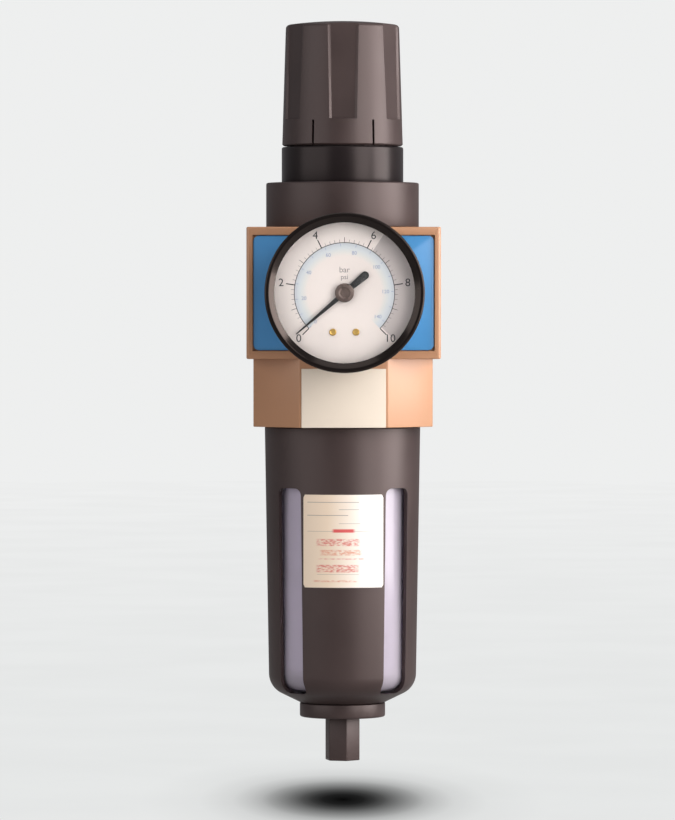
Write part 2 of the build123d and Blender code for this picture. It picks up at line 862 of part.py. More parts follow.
# Clear bowl with a flange that the guard's neck lifts, and a boss for the drain
z_bowl_under = z_guard + guard_wall + bowl_foot_space
z_bowl_floor = z_bowl_under + bowl_floor
z_bowl_corner = z_bowl_under + bowl_corner
bowl_inner_corner = bowl_corner - bowl_wall
drain_hole_radius = drain_shank_radius + thread_gap
groove_height = 2 * seal_radius
groove_floor = bowl_radius - 2 * seal_radius + seal_squeeze
z_groove = z_bowl_flange_top + (bowl_rim_height - groove_height) / 2
bend = 1 - cos(pi / 4)
with BuildPart() as bowl:
    with BuildSketch(Plane.XZ):
        with BuildLine():
            Polyline(
                (drain_hole_radius, z_bowl_foot),
                (bowl_boss_radius, z_bowl_foot),
                (bowl_boss_radius, z_bowl_under),
                (bowl_radius - bowl_corner, z_bowl_under),
            )
            ThreePointArc(
                (bowl_radius - bowl_corner, z_bowl_under),
                (bowl_radius - bowl_corner * bend, z_bowl_under + bowl_corner * bend),
                (bowl_radius, z_bowl_corner),
            )
            Polyline(
                (bowl_radius, z_bowl_corner),
                (bowl_radius, z_bowl_flange),
                (guard_neck_radius, z_bowl_flange),
                (guard_neck_radius, z_bowl_flange_top),
                (bowl_radius, z_bowl_flange_top),
                (bowl_radius, z_groove),
                (groove_floor, z_groove),
                (groove_floor, z_groove + groove_height),
                (bowl_radius, z_groove + groove_height),
                (bowl_radius, z_bowl_rim),
                (bowl_inner, z_bowl_rim),
                (bowl_inner, z_bowl_floor + bowl_inner_corner),
            )
            ThreePointArc(
                (bowl_inner, z_bowl_floor + bowl_inner_corner),
                (bowl_inner - bowl_inner_corner * bend, z_bowl_floor + bowl_inner_corner * bend),
                (bowl_inner - bowl_inner_corner, z_bowl_floor),
            )
            Polyline(
                (bowl_inner - bowl_inner_corner, z_bowl_floor),
                (drain_hole_radius, z_bowl_floor),
                (drain_hole_radius, z_bowl_foot),
            )
        make_face()
    revolve(axis=Axis.Z)
write(bowl, "bowl")

# O-ring in the bowl's rim groove
with BuildPart() as bowl_seal:
    with BuildSketch(Plane.XZ):
        with Locations((groove_floor + seal_radius, z_groove + seal_radius)):
            Circle(seal_radius)
    revolve(axis=Axis.Z)
write(bowl_seal, "bowl_seal")

# Guard: a tapered tube with a coned and rounded shoulder, four sight slots and a threaded neck
z_guard_shelf = z_guard + guard_height
guard_hole_radius = bowl_boss_radius + slip_gap
guard_neck_inner = bowl_radius + slip_gap
slope_rise = tan(radians(shoulder_slope))
corner_height = (guard_foot_radius - drain_nut_radius) * slope_rise
wall_lean = (guard_top_radius - guard_foot_radius) / (guard_height - corner_height)
cone_lift = guard_wall / cos(radians(shoulder_slope))
inner_corner_height = cone_lift + (guard_foot_radius - guard_wall - drain_nut_radius) * slope_rise
cone_start = drain_nut_radius - (cone_lift - guard_wall) / slope_rise

with BuildPart() as guard:
    with BuildSketch(Plane.XZ) as outside:
        with BuildLine():
            Polyline(
                (0, z_guard),
                (drain_nut_radius, z_guard),
                (guard_foot_radius, z_guard + corner_height),
                (guard_top_radius, z_guard_shelf),
                (guard_neck_radius, z_guard_shelf),
                (guard_neck_radius, z_guard_neck_top),
                (0, z_guard_neck_top),
                close=True,
            )
        make_face()
        fillet(corner(outside, guard_foot_radius, z_guard + corner_height), radius=shoulder_round)
    revolve(axis=Axis.Z)
    with BuildSketch(Plane.XZ) as inside:
        with BuildLine():
            Polyline(
                (0, z_guard + guard_wall),
                (cone_start, z_guard + guard_wall),
                (guard_foot_radius - guard_wall, z_guard + inner_corner_height),
                (guard_top_radius - guard_wall, z_guard_shelf - guard_collar_height),
                (guard_neck_inner, z_guard_shelf - guard_collar_height),
                (guard_neck_inner, z_guard_neck_top),
                (0, z_guard_neck_top),
                close=True,
            )
        make_face()
        fillet(
            corner(inside, guard_foot_radius - guard_wall, z_guard + inner_corner_height),
            radius=shoulder_round - guard_wall,
        )
    revolve(axis=Axis.Z, mode=Mode.SUBTRACT)
    with BuildSketch(Plane.XY.offset(z_guard)):
        Circle(guard_hole_radius)
    extrude(amount=guard_wall, mode=Mode.SUBTRACT)
    for angle in slot_angles:
        outward = (cos(radians(angle)), sin(radians(angle)), 0)
        middle = z_guard + slot_foot_height + slot_height / 2
        with BuildSketch(Plane(origin=(0, 0, middle), x_dir=(-outward[1], outward[0], 0), z_dir=outward)):
            RectangleRounded(slot_width, slot_height, slot_corner)
        extrude(amount=guard_top_radius + slip_gap, mode=Mode.SUBTRACT)
write(guard, "guard")

# Label wrapped round the guard between the two front slots
z_label = z_guard_shelf - label_drop - label_height
label_foot_radius = guard_foot_radius + wall_lean * (z_label - z_guard - corner_height) + running_fit
label_head_radius = label_foot_radius + wall_lean * label_height
with BuildPart() as bowl_label:
    with BuildSketch(Plane.XZ):
        with BuildLine():
            Polyline(
                (label_foot_radius, z_label),
                (label_foot_radius + label_thickness, z_label),
                (label_head_radius + label_thickness, z_label + label_height),
                (label_head_radius, z_label + label_height),
                close=True,
            )
        make_face()
    revolve(axis=Axis.Z)
    with BuildSketch(Plane.XZ):
        with Locations((0, z_label + label_height / 2)):
            RectangleRounded(label_width, label_height, label_corner)
    extrude(amount=guard_top_radius + slip_gap, mode=Mode.INTERSECT)
write(bowl_label, "bowl_label")

# Drain nut under the guard, screwed on the drain body
with BuildPart() as drain_nut:
    with BuildSketch(Plane.XY.offset(z_nut)):
        Circle(drain_nut_radius)
        Circle(drain_hole_radius, mode=Mode.SUBTRACT)
    extrude(amount=drain_nut_height)
    nut_rim = drain_nut.edges().group_by(Axis.Z)[0].sort_by(SortBy.LENGTH)[-1]
    chamfer(nut_rim, length=drain_nut_chamfer)
write(drain_nut, "drain_nut")

# Washer and drain body, which clamp the bowl's floor against the nut
with BuildPart() as drain_washer:
    with BuildSketch(Plane.XY.offset(z_bowl_floor)):
        Circle(drain_flange_radius)
        Circle(drain_hole_radius, mode=Mode.SUBTRACT)
    extrude(amount=drain_washer_thickness)
write(drain_washer, "drain_washer")

z_drain_flange = z_bowl_floor + drain_washer_thickness
z_drain_top = z_drain_flange + drain_flange_thickness
with BuildPart() as drain_body:
    with BuildSketch(Plane.XZ):
        with BuildLine():
            Polyline(
                (drain_spindle_radius + running_fit, z_nut),
                (drain_shank_radius, z_nut),
                (drain_shank_radius, z_drain_flange),
                (drain_flange_radius, z_drain_flange),
                (drain_flange_radius, z_drain_top),
                (drain_spindle_radius + running_fit, z_drain_top),
                close=True,
            )
        make_face()
    revolve(axis=Axis.Z)
write(drain_body, "drain_body")

# Drain stem: a hexagon to turn it by, a spindle, and the way out for the water
with BuildPart() as drain_stem:
    with BuildSketch():
        RegularPolygon(drain_hex / 2, 6, major_radius=False, rotation=drain_hex_turn)
    extrude(amount=drain_hex_length)
    with BuildSketch(Plane.XY.offset(drain_hex_length)):
        Circle(drain_spindle_radius)
    extrude(amount=z_drain_top + drain_head - drain_hex_length)
    with BuildSketch():
        Circle(drain_bore_radius)
    extrude(amount=drain_bore_depth, mode=Mode.SUBTRACT)
    with BuildSketch():
        Circle(drain_passage_radius)
    extrude(amount=z_drain_top, mode=Mode.SUBTRACT)
write(drain_stem, "drain_stem")


# Gauge, measured forward from the flange's front face
gauge_axis = Axis((0, 0, z_port), (0, -1, 0))
d_case = case_standoff
d_case_front = d_case + case_depth
d_lens = d_case_front - lens_thickness
d_dial_front = d_lens - dial_setback
d_dial = d_dial_front - dial_thickness
d_bezel_lip = d_case_front + running_fit
bezel_radius = case_radius + bezel_wall
bezel_opening = case_radius - bezel_ledge


def gauge_plane(forward):
    """A plane square to the gauge's axis, facing the reader, so far in front of the flange."""
    return Plane(origin=(0, y_front - forward, z_port), x_dir=(1, 0, 0), z_dir=(0, -1, 0))


def gauge_points(*pairs):
    """Points of a turned gauge part, each given as its distance forward and its radius."""
    return [(y_front - forward, z_port + radius) for forward, radius in pairs]


# Socket: thread in the flange, wrench square, neck, and the block that carries the works
d_block = d_case + case_wall + seat_gap
d_works = d_block + block_depth
d_tube = d_works + slip_gap
with BuildPart() as gauge_socket:
    with BuildSketch(gauge_plane(-gauge_port_depth + slip_gap)):
        Circle(gauge_port_radius - running_fit)
    extrude(amount=gauge_port_depth)
    with BuildSketch(gauge_plane(seat_gap)):
        Rectangle(wrench_square, wrench_square)
    extrude(amount=case_standoff - 2 * seat_gap)
    with BuildSketch(gauge_plane(0)):
        Circle(socket_neck_radius)
    extrude(amount=d_block)
    with BuildSketch(gauge_plane(d_block)):
        with Locations((0, (block_top - block_foot) / 2)):
            Rectangle(2 * block_half_width, block_top + block_foot)
        with Locations((root_reach / 2, root_width / 2 - block_foot)):
            Rectangle(root_reach, root_width)
    extrude(amount=d_works - d_block)
    with BuildSketch(gauge_plane(d_works)):
        with Locations((root_reach - root_width / 2, root_width / 2 - block_foot)):
            Rectangle(root_width, root_width)
    extrude(amount=d_tube - d_works + bourdon_depth)
    with BuildSketch(gauge_plane(-gauge_port_depth + slip_gap)):
        Circle(sensing_radius)
    extrude(amount=gauge_port_depth + d_block, mode=Mode.SUBTRACT)
write(gauge_socket, "gauge_socket")

with BuildPart() as gauge_case:
    with BuildSketch(Plane.YZ):
        with BuildLine():
            inner = case_radius - case_wall
            Polyline(
                *gauge_points(
                    (d_case, socket_neck_radius + running_fit),
                    (d_case, case_radius - 2 * case_wall),
                    (d_case + 2 * case_wall, case_radius),
                    (d_case_front, case_radius),
                    (d_case_front, inner),
                    (d_case + 2 * case_wall, inner),
                    (d_case + case_wall, inner - case_wall),
                    (d_case + case_wall, socket_neck_radius + running_fit),
                ),
                close=True,
            )
        make_face()
    revolve(axis=gauge_axis)
write(gauge_case, "gauge_case")

# Bezel: a snap ring with a rounded rim and a cone down to the lens
d_bezel_front = d_bezel_lip + bezel_lip + bezel_cone_depth
with BuildPart() as gauge_bezel:
    with BuildSketch(Plane.YZ):
        with BuildLine():
            Polyline(
                *gauge_points(
                    (d_bezel_front - bezel_length, case_radius + running_fit),
                    (d_bezel_front - bezel_length, bezel_radius),
                    (d_bezel_front - bezel_rim, bezel_radius),
                    (d_bezel_front, bezel_radius - bezel_rim),
                    (d_bezel_front, bezel_radius - 2 * bezel_rim),
                    (d_bezel_lip + bezel_lip / 2, bezel_opening),
                    (d_bezel_lip, bezel_opening),
                    (d_bezel_lip, case_radius + running_fit),
                ),
                close=True,
            )
        make_face()
    revolve(axis=gauge_axis)
write(gauge_bezel, "gauge_bezel")

with BuildPart() as gauge_lens:
    with BuildSketch(gauge_plane(d_lens)):
        Circle(inner - running_fit)
    extrude(amount=lens_thickness)
write(gauge_lens, "gauge_lens")

with BuildPart() as gauge_dial:
    with BuildSketch(gauge_plane(d_dial)):
        Circle(inner - running_fit)
        Circle(arbor_radius + seat_gap, mode=Mode.SUBTRACT)
    extrude(amount=dial_thickness)
write(gauge_dial, "gauge_dial")

with BuildPart() as dial_screws:
    with BuildSketch(gauge_plane(d_dial_front)):
        with Locations((-dial_screw_spread, -dial_screw_drop), (dial_screw_spread, -dial_screw_drop)):
            Circle(dial_screw_radius)
    extrude(amount=dial_screw_height)
write(dial_screws, "dial_screws")

# Movement frame: two plates on pillars, which also carry the dial
frame_half_width = root_reach - root_width - seat_gap
arbor_hole = arbor_radius + running_fit
sector_pitch_radius = sector_ratio * pinion_radius
sector_pivot_drop = sector_pitch_radius + pinion_radius
with BuildPart() as movement_frame:
    for forward in (d_works, d_works + movement_plate + plate_gap):
        with BuildSketch(gauge_plane(forward)):
            with Locations((0, (frame_top - frame_foot) / 2)):
                RectangleRounded(2 * frame_half_width, frame_top + frame_foot, frame_corner)
            Circle(arbor_hole, mode=Mode.SUBTRACT)
            with Locations((0, -sector_pivot_drop)):
                Circle(arbor_hole, mode=Mode.SUBTRACT)
        extrude(amount=movement_plate)
    with BuildSketch(gauge_plane(d_works)):
        with Locations((-dial_screw_spread, -dial_screw_drop), (dial_screw_spread, -dial_screw_drop)):
            Circle(pillar_radius)
    extrude(amount=d_dial - d_works)
write(movement_frame, "movement_frame")

# Flattened tube, bent to an open C, whose tip moves with pressure
tube_start = degrees(asin((block_foot - root_width) / bourdon_radius)) - tube_inset_angle
with BuildPart() as bourdon_tube:
    with BuildSketch(gauge_plane(d_tube)):
        with BuildLine():
            CenterArc((0, 0), bourdon_radius - bourdon_thickness / 2, -tube_start, bourdon_sweep)
            CenterArc((0, 0), bourdon_radius + bourdon_thickness / 2, -tube_start, bourdon_sweep)
            for angle in (-tube_start, bourdon_sweep - tube_start):
                turn = radians(angle)
                near = bourdon_radius - bourdon_thickness / 2
                far = bourdon_radius + bourdon_thickness / 2
                Line((near * cos(turn), near * sin(turn)), (far * cos(turn), far * sin(turn)))
        make_face()
    extrude(amount=bourdon_depth)
write(bourdon_tube, "bourdon_tube")

# Toothed sector and the arbor with its pinion, between the movement's plates
d_gear = d_works + movement_plate + (plate_gap - sector_thickness) / 2
tooth_angle = 360 / pinion_teeth
sector_tooth_angle = tooth_angle / sector_ratio
tooth_width = (radians(tooth_angle) * pinion_radius - tooth_backlash) / 2
with BuildPart() as sector_gear:
    with BuildSketch(gauge_plane(d_gear)):
        with BuildLine():
            pivot = (0, -sector_pivot_drop)
            fan_foot = 90 - (sector_teeth - 1.5) * sector_tooth_angle
            fan_sweep = sector_teeth * sector_tooth_angle
            rim = CenterArc(pivot, sector_pitch_radius - tooth_root, fan_foot, fan_sweep)
            Line(pivot, rim @ 0)
            Line(pivot, rim @ 1)
        make_face()
        with Locations(pivot):
            Circle(2 * arbor_radius)
            with PolarLocations(
                sector_pitch_radius,
                sector_teeth,
                start_angle=fan_foot + sector_tooth_angle / 2,
                angular_range=fan_sweep - sector_tooth_angle,
                endpoint=True,
            ):
                tooth(tooth_width, tooth_width + tooth_flare)
    extrude(amount=sector_thickness)
    with BuildSketch(gauge_plane(d_works + running_fit)):
        with Locations((0, -sector_pivot_drop)):
            Circle(arbor_radius)
    extrude(amount=plate_gap + 2 * movement_plate - 2 * running_fit)
write(sector_gear, "sector_gear")

d_pointer = d_dial_front + pointer_clearance
with BuildPart() as pointer_arbor:
    with BuildSketch(gauge_plane(d_works + running_fit)):
        Circle(arbor_radius)
    extrude(amount=d_pointer - d_works - running_fit)
    with BuildSketch(gauge_plane(d_gear - seat_gap)):
        root_share = (pinion_radius - tooth_root) / pinion_radius
        Circle(root_share * pinion_radius)
        with PolarLocations(pinion_radius, pinion_teeth, start_angle=tooth_angle / 2 - 90):
            tooth(tooth_width, tooth_width * root_share)
    extrude(amount=sector_thickness + 2 * seat_gap)
write(pointer_arbor, "pointer_arbor")

# Pointer: a tapered needle with a broad round-ended tail
aim = radians(pointer_rest_angle)
ahead = Vector(cos(aim), sin(aim))
across = Vector(-sin(aim), cos(aim))
with BuildPart() as pointer:
    with BuildSketch(gauge_plane(d_pointer)):
        with BuildLine():
            left_tip = ahead * pointer_length + across * pointer_tip_width / 2
            right_tip = ahead * pointer_length - across * pointer_tip_width / 2
            right_tail = ahead * (pointer_tail_half - pointer_tail) - across * pointer_tail_half
            left_tail = ahead * (pointer_tail_half - pointer_tail) + across * pointer_tail_half
            waist = ahead * (-pointer_hub_radius)
            Polyline(
                left_tail,
                waist + across * pointer_root_half,
                left_tip,
                right_tip,
                waist - across * pointer_root_half,
                right_tail,
            )
            ThreePointArc(right_tail, ahead * -pointer_tail, left_tail)
        make_face()
    extrude(amount=pointer_thickness)
write(pointer, "pointer")

# Cap over the pointer's boss
with BuildPart() as pointer_hub:
    with BuildSketch(gauge_plane(d_pointer + pointer_thickness)):
        Circle(pointer_hub_radius)
    extrude(amount=pointer_hub_height)
write(pointer_hub, "pointer_hub")
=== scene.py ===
# %% [markdown]
# # A compressed-air filter regulator
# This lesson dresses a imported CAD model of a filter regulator: a cast body with a
# dial gauge, a black knob on top, and a clear bowl in a slotted black guard below.
# The CAD solids are exact but plain, so each visible part gets a finer mesh with
# eased edges, and each part gets a finish built from shader nodes.

# %% Load the frame
import bmesh
import bpy
import json
from math import acos, asin, atan2, cos, pi, radians, sin, sqrt, tan
from mathutils import Matrix, Vector


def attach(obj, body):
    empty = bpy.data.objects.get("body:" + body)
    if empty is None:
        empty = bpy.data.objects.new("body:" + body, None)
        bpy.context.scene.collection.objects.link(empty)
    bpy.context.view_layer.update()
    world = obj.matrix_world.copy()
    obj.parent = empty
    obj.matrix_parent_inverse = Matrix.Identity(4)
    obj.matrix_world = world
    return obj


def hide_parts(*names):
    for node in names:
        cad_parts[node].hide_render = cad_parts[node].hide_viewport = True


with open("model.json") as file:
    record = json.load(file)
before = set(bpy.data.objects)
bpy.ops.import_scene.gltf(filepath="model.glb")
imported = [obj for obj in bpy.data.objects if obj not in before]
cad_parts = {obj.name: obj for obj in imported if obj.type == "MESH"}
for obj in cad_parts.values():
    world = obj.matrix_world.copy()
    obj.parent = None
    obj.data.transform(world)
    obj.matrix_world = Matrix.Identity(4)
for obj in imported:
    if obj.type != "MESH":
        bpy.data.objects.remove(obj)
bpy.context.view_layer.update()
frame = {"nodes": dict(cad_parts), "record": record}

scene = bpy.context.scene

# %% [markdown]
# ## Camera
# The photograph was taken from far away with a long lens, level with the gauge and
# tipped slightly down. A long lens could be faked by an orthographic camera, but the
# gauge stands 30 mm nearer than the body and is drawn a little larger for it, so a
# real perspective from 2.3 m is used.

# %% Camera
PHOTO_W, PHOTO_H = 675, 820
FOCAL_PX = 5500.0
EYE_HEIGHT = 0.1925
EYE_DISTANCE = 2.30
EYE_TURN = radians(0.75)
AXIS_COLUMN = 342.5
HORIZON_ROW = 300.0

eye = Vector((-EYE_DISTANCE * sin(EYE_TURN), -EYE_DISTANCE * cos(EYE_TURN), EYE_HEIGHT))
tilt = atan2(PHOTO_H / 2 - HORIZON_ROW, FOCAL_PX)
swing = EYE_TURN - atan2(AXIS_COLUMN - PHOTO_W / 2, FOCAL_PX)
camera_data = bpy.data.cameras.new("camera")
camera = bpy.data.objects.new("camera", camera_data)
scene.collection.objects.link(camera)
camera_data.sensor_width = 36.0
camera_data.lens = FOCAL_PX / PHOTO_H * camera_data.sensor_width
camera_data.clip_start, camera_data.clip_end = 0.1, 50.0
camera.location = eye
camera.rotation_euler = (pi / 2 - tilt, 0.0, -swing)
scene.camera = camera
scene.view_settings.view_transform = "Standard"
print("lens", round(camera_data.lens, 1), "mm, tilt", round(tilt, 4))

# %% [markdown]
# ## Floor and backdrop
# The regulator hangs a little above a pale floor, and only a soft painted shadow under it
# tells where the floor is. A curved studio sweep would show from behind, so a wide
# disc is used, and rays from the camera that pass it see a pale sky of the same
# colour. Lamps would cast several weak shadows on it, so the disc shows the camera
# its own colour, with a shadow painted in that darkens softly towards the object's axis.

# %% Floor
FLOOR_Z = -0.0150
FLOOR_REACH = 4.0
PALE = (0.855, 0.862, 0.860, 1.0)
NEAR_PALE = (0.795, 0.808, 0.805, 1.0)
# Painted shadow: the floor's colour falls to nearly black under the object, in a soft ellipse drawn out front to back.
FLOOR_SHADOW_FORWARD, FLOOR_SHADOW_LENGTH = 0.018, 2.6
FLOOR_SHADOW = [(0.0, 0.003), (0.0085, 0.017), (0.0127, 0.045), (0.017, 0.10), (0.0215, 0.20), (0.0255, 0.30), (0.0300, 0.43),
         (0.034, 0.58), (0.039, 0.70), (0.046, 0.84), (0.060, 0.95), (0.085, 1.0)]


def ray_switch(tree, *kinds):
    """Adds up the flags of a few kinds of ray and returns the socket."""
    rays = tree.nodes.new("ShaderNodeLightPath")
    total = rays.outputs[kinds[0]]
    for kind in kinds[1:]:
        either = tree.nodes.new("ShaderNodeMath")
        either.operation = "MAXIMUM"
        tree.links.new(total, either.inputs[0])
        tree.links.new(rays.outputs[kind], either.inputs[1])
        total = either.outputs[0]
    return total


def fill_ramp(ramp, stops, interpolation="LINEAR"):
    """Sets a colour ramp's stops from pairs of a position and a colour."""
    ramp.interpolation = interpolation
    for index, (position, colour) in enumerate(stops):
        stop = ramp.elements[index] if index < 2 else ramp.elements.new(position)
        stop.position, stop.color = position, colour


def seen_floor(tree):
    """The colour that the camera sees: pale, mottled, and with a painted shadow below the object."""
    place = tree.nodes.new("ShaderNodeTexCoord").outputs["Object"]
    centred = tree.nodes.new("ShaderNodeVectorMath")
    centred.operation = "ADD"
    centred.inputs[1].default_value = (0.0, FLOOR_SHADOW_FORWARD, 0.0)
    tree.links.new(place, centred.inputs[0])
    squeezed = tree.nodes.new("ShaderNodeVectorMath")
    squeezed.operation = "MULTIPLY"
    squeezed.inputs[1].default_value = (1.0, 1.0 / FLOOR_SHADOW_LENGTH, 0.0)
    tree.links.new(centred.outputs["Vector"], squeezed.inputs[0])
    colour = None
    for vector, reach, stops in ((squeezed.outputs["Vector"], 0.1, [(r / 0.1, (v, v, v, 1.0)) for r, v in FLOOR_SHADOW]),
                                 (place, FLOOR_REACH, [(0.02, NEAR_PALE), (0.9, PALE)])):
        distance = tree.nodes.new("ShaderNodeVectorMath")
        distance.operation = "LENGTH"
        tree.links.new(vector, distance.inputs[0])
        part = tree.nodes.new("ShaderNodeMath")
        part.operation = "DIVIDE"
        part.inputs[1].default_value = reach
        part.use_clamp = True
        tree.links.new(distance.outputs["Value"], part.inputs[0])
        ramp = tree.nodes.new("ShaderNodeValToRGB")
        fill_ramp(ramp.color_ramp, stops)
        tree.links.new(part.outputs[0], ramp.inputs["Fac"])
        colour = ramp.outputs["Color"] if colour is None else multiply(tree, colour, ramp.outputs["Color"])
    grain = tree.nodes.new("ShaderNodeTexNoise")
    grain.inputs["Scale"].default_value = 9.0
    grain.inputs["Detail"].default_value = 9.0
    tree.links.new(place, grain.inputs["Vector"])
    mottle = tree.nodes.new("ShaderNodeValToRGB")
    fill_ramp(mottle.color_ramp, [(0.35, (0.975, 0.975, 0.975, 1.0)), (0.65, (1.0, 1.0, 1.0, 1.0))])
    tree.links.new(grain.outputs["Fac"], mottle.inputs["Fac"])
    return multiply(tree, colour, mottle.outputs["Color"])


def multiply(tree, first, second):
    mix = tree.nodes.new("ShaderNodeMix")
    mix.data_type = "RGBA"
    mix.blend_type = "MULTIPLY"
    mix.inputs["Factor"].default_value = 1.0
    tree.links.new(first, mix.inputs["A"])
    tree.links.new(second, mix.inputs["B"])
    return mix.outputs["Result"]


def make_floor():
    mesh = bpy.data.meshes.new("floor")
    turns = [2 * pi * i / 96 for i in range(96)]
    rim = [(FLOOR_REACH * cos(turn), FLOOR_REACH * sin(turn), FLOOR_Z) for turn in turns]
    mesh.from_pydata(rim, [], [tuple(range(96))])
    floor = bpy.data.objects.new("floor", mesh)
    scene.collection.objects.link(floor)
    paint = bpy.data.materials.new("pale_floor")
    paint.use_nodes = True
    tree = paint.node_tree
    tree.nodes.clear()
    out = tree.nodes.new("ShaderNodeOutputMaterial")
    mix = tree.nodes.new("ShaderNodeMixShader")
    lit = tree.nodes.new("ShaderNodeBsdfDiffuse")
    lit.inputs["Color"].default_value = (0.42, 0.42, 0.42, 1.0)
    glow = tree.nodes.new("ShaderNodeEmission")
    tree.links.new(seen_floor(tree), glow.inputs["Color"])
    tree.links.new(ray_switch(tree, "Is Camera Ray", "Is Transmission Ray"), mix.inputs["Fac"])
    tree.links.new(lit.outputs[0], mix.inputs[1])
    tree.links.new(glow.outputs[0], mix.inputs[2])
    tree.links.new(mix.outputs[0], out.inputs["Surface"])
    mesh.materials.append(paint)
    return floor


floor = make_floor()

# %% Sky
world = bpy.data.worlds.new("studio")
scene.world = world
world.use_nodes = True
sky = world.node_tree
sky.nodes.clear()
sky_out = sky.nodes.new("ShaderNodeOutputWorld")
sky_mix = sky.nodes.new("ShaderNodeMixShader")
sky_room = sky.nodes.new("ShaderNodeBackground")
sky_seen = sky.nodes.new("ShaderNodeBackground")
sky_room.inputs["Color"].default_value = (0.97, 0.97, 1.0, 1.0)
sky_room.inputs["Strength"].default_value = 0.26
sky_seen.inputs["Color"].default_value = PALE
sky.links.new(ray_switch(sky, "Is Camera Ray", "Is Transmission Ray"), sky_mix.inputs["Fac"])
sky.links.new(sky_room.outputs[0], sky_mix.inputs[1])
sky.links.new(sky_seen.outputs[0], sky_mix.inputs[2])
sky.links.new(sky_mix.outputs[0], sky_out.inputs["Surface"])
print("floor at", FLOOR_Z)

# %% [markdown]
# ## Lamps
# On the black cylinders of the photograph a broad light lies to the right of the
# middle, and a narrow dim one near the left edge. A point lamp would give small hot
# spots there, so tall area lamps are used, whose reflections are upright bands.

# %% Lamps


def lamp(name, turn, distance, height, size, watts, colour=(1.0, 1.0, 1.0), look=(0, 0, 0.17)):
    """An upright area lamp at an angle from the front, positive to the right."""
    data = bpy.data.lights.new(name, "AREA")
    data.shape = "RECTANGLE"
    data.size, data.size_y = size
    data.energy = watts
    data.color = colour
    light = bpy.data.objects.new(name, data)
    scene.collection.objects.link(light)
    angle = radians(turn)
    light.location = (distance * sin(angle), -distance * cos(angle), height)
    aim = Vector(look) - light.location
    light.rotation_euler = aim.to_track_quat("-Z", "Y").to_euler()
    return light


lamps = [
    lamp("right_window", 78, 0.80, 0.24, (0.52, 1.0), 13.0, (1.0, 0.955, 0.93)),
    lamp("front_window", 38, 0.85, 0.36, (0.46, 0.9), 6.2, (1.0, 0.97, 0.94)),
    lamp("left_fill", -56, 1.6, 0.35, (1.7, 1.5), 12.0, (1.0, 0.975, 0.96)),
    lamp("sky_panel", 0, 0.01, 1.9, (1.6, 1.6), 8.0, (1.0, 1.0, 1.0), (0, 0, 0)),
]
print("lamps", [light.name for light in lamps])

# %% [markdown]
# ## Finishes
# Every finish here starts from the same recipe: a colour that wanders a little over
# the surface, a roughness that wanders too, and a fine bump. A picture could be laid
# on instead, but noise in the object's own space needs no unwrapping and looks the
# same on every part, whichever way it was meshed.

# %% Finish recipe
SCALE = 1000.0


def rgb(red, green, blue):
    """Turns screen values from 0 to 255 into the linear colour that a shader wants."""
    def linear(value):
        value /= 255.0
        return value / 12.92 if value <= 0.04045 else ((value + 0.055) / 1.055) ** 2.4
    return (linear(red), linear(green), linear(blue), 1.0)


def tint(colour, factor):
    return tuple(min(1.0, channel * factor) for channel in colour[:3]) + (1.0,)


class Finish:
    """A material whose colour, roughness and bump come from noise in the object's space."""

    def __init__(self, name, colour, rough, wander=0.10, grain=0.6, blotch=0.06, bump=0.03, rough_play=0.08):
        self.material = bpy.data.materials.new(name)
        self.material.use_nodes = True
        self.tree = self.material.node_tree
        self.shader = self.tree.nodes["Principled BSDF"]
        self.space = self.node("ShaderNodeTexCoord").outputs["Object"]
        self.blotches = self.noise(blotch * SCALE, 4.0)
        self.colour = self.ramp(self.blotches, (0.3, tint(colour, 1 - wander)), (0.7, tint(colour, 1 + wander)))
        self.link(self.colour, "Base Color")
        play = self.node("ShaderNodeMapRange")
        play.inputs["To Min"].default_value = max(0.02, rough - rough_play)
        play.inputs["To Max"].default_value = min(1.0, rough + rough_play)
        self.tree.links.new(self.blotches, play.inputs["Value"])
        self.link(play.outputs["Result"], "Roughness")
        self.bump = self.node("ShaderNodeBump")
        self.bump.inputs["Strength"].default_value = 1.0
        self.bump.inputs["Distance"].default_value = bump / SCALE
        self.grain = self.noise(grain * SCALE, 3.0)
        self.tree.links.new(self.grain, self.bump.inputs["Height"])
        self.link(self.bump.outputs["Normal"], "Normal")

    def node(self, kind):
        return self.tree.nodes.new(kind)

    def link(self, socket, name):
        self.tree.links.new(socket, self.shader.inputs[name])

    def noise(self, scale, detail, space=None):
        noise = self.node("ShaderNodeTexNoise")
        noise.inputs["Scale"].default_value = scale
        noise.inputs["Detail"].default_value = detail
        self.tree.links.new(space or self.space, noise.inputs["Vector"])
        return noise.outputs["Fac"]

    def ramp(self, value, *stops):
        ramp = self.node("ShaderNodeValToRGB")
        elements = ramp.color_ramp.elements
        for index, (position, colour) in enumerate(stops):
            stop = elements[index] if index < 2 else elements.new(position)
            stop.position = position
            stop.color = colour
        self.tree.links.new(value, ramp.inputs["Fac"])
        return ramp.outputs["Color"]

    def set(self, **values):
        for name, value in values.items():
            self.shader.inputs[name.replace("_", " ")].default_value = value
        return self


# %% [markdown]
# ### Plastics, paint and metals
# The knob, bonnet and guard are black nylon with a fine spark-eroded texture that
# scatters the lamp, so they read as warm dark grey. The body is cast aluminium under
# a satin copper-coloured paint. Brass, zinc and spring steel belong to the works.

# %% Make the finishes
finishes = {}


def finish(name, *recipe, sockets=None, **more):
    made = Finish(name, *recipe, **more)
    made.set(**(sockets or {}))
    finishes[name] = made
    return made


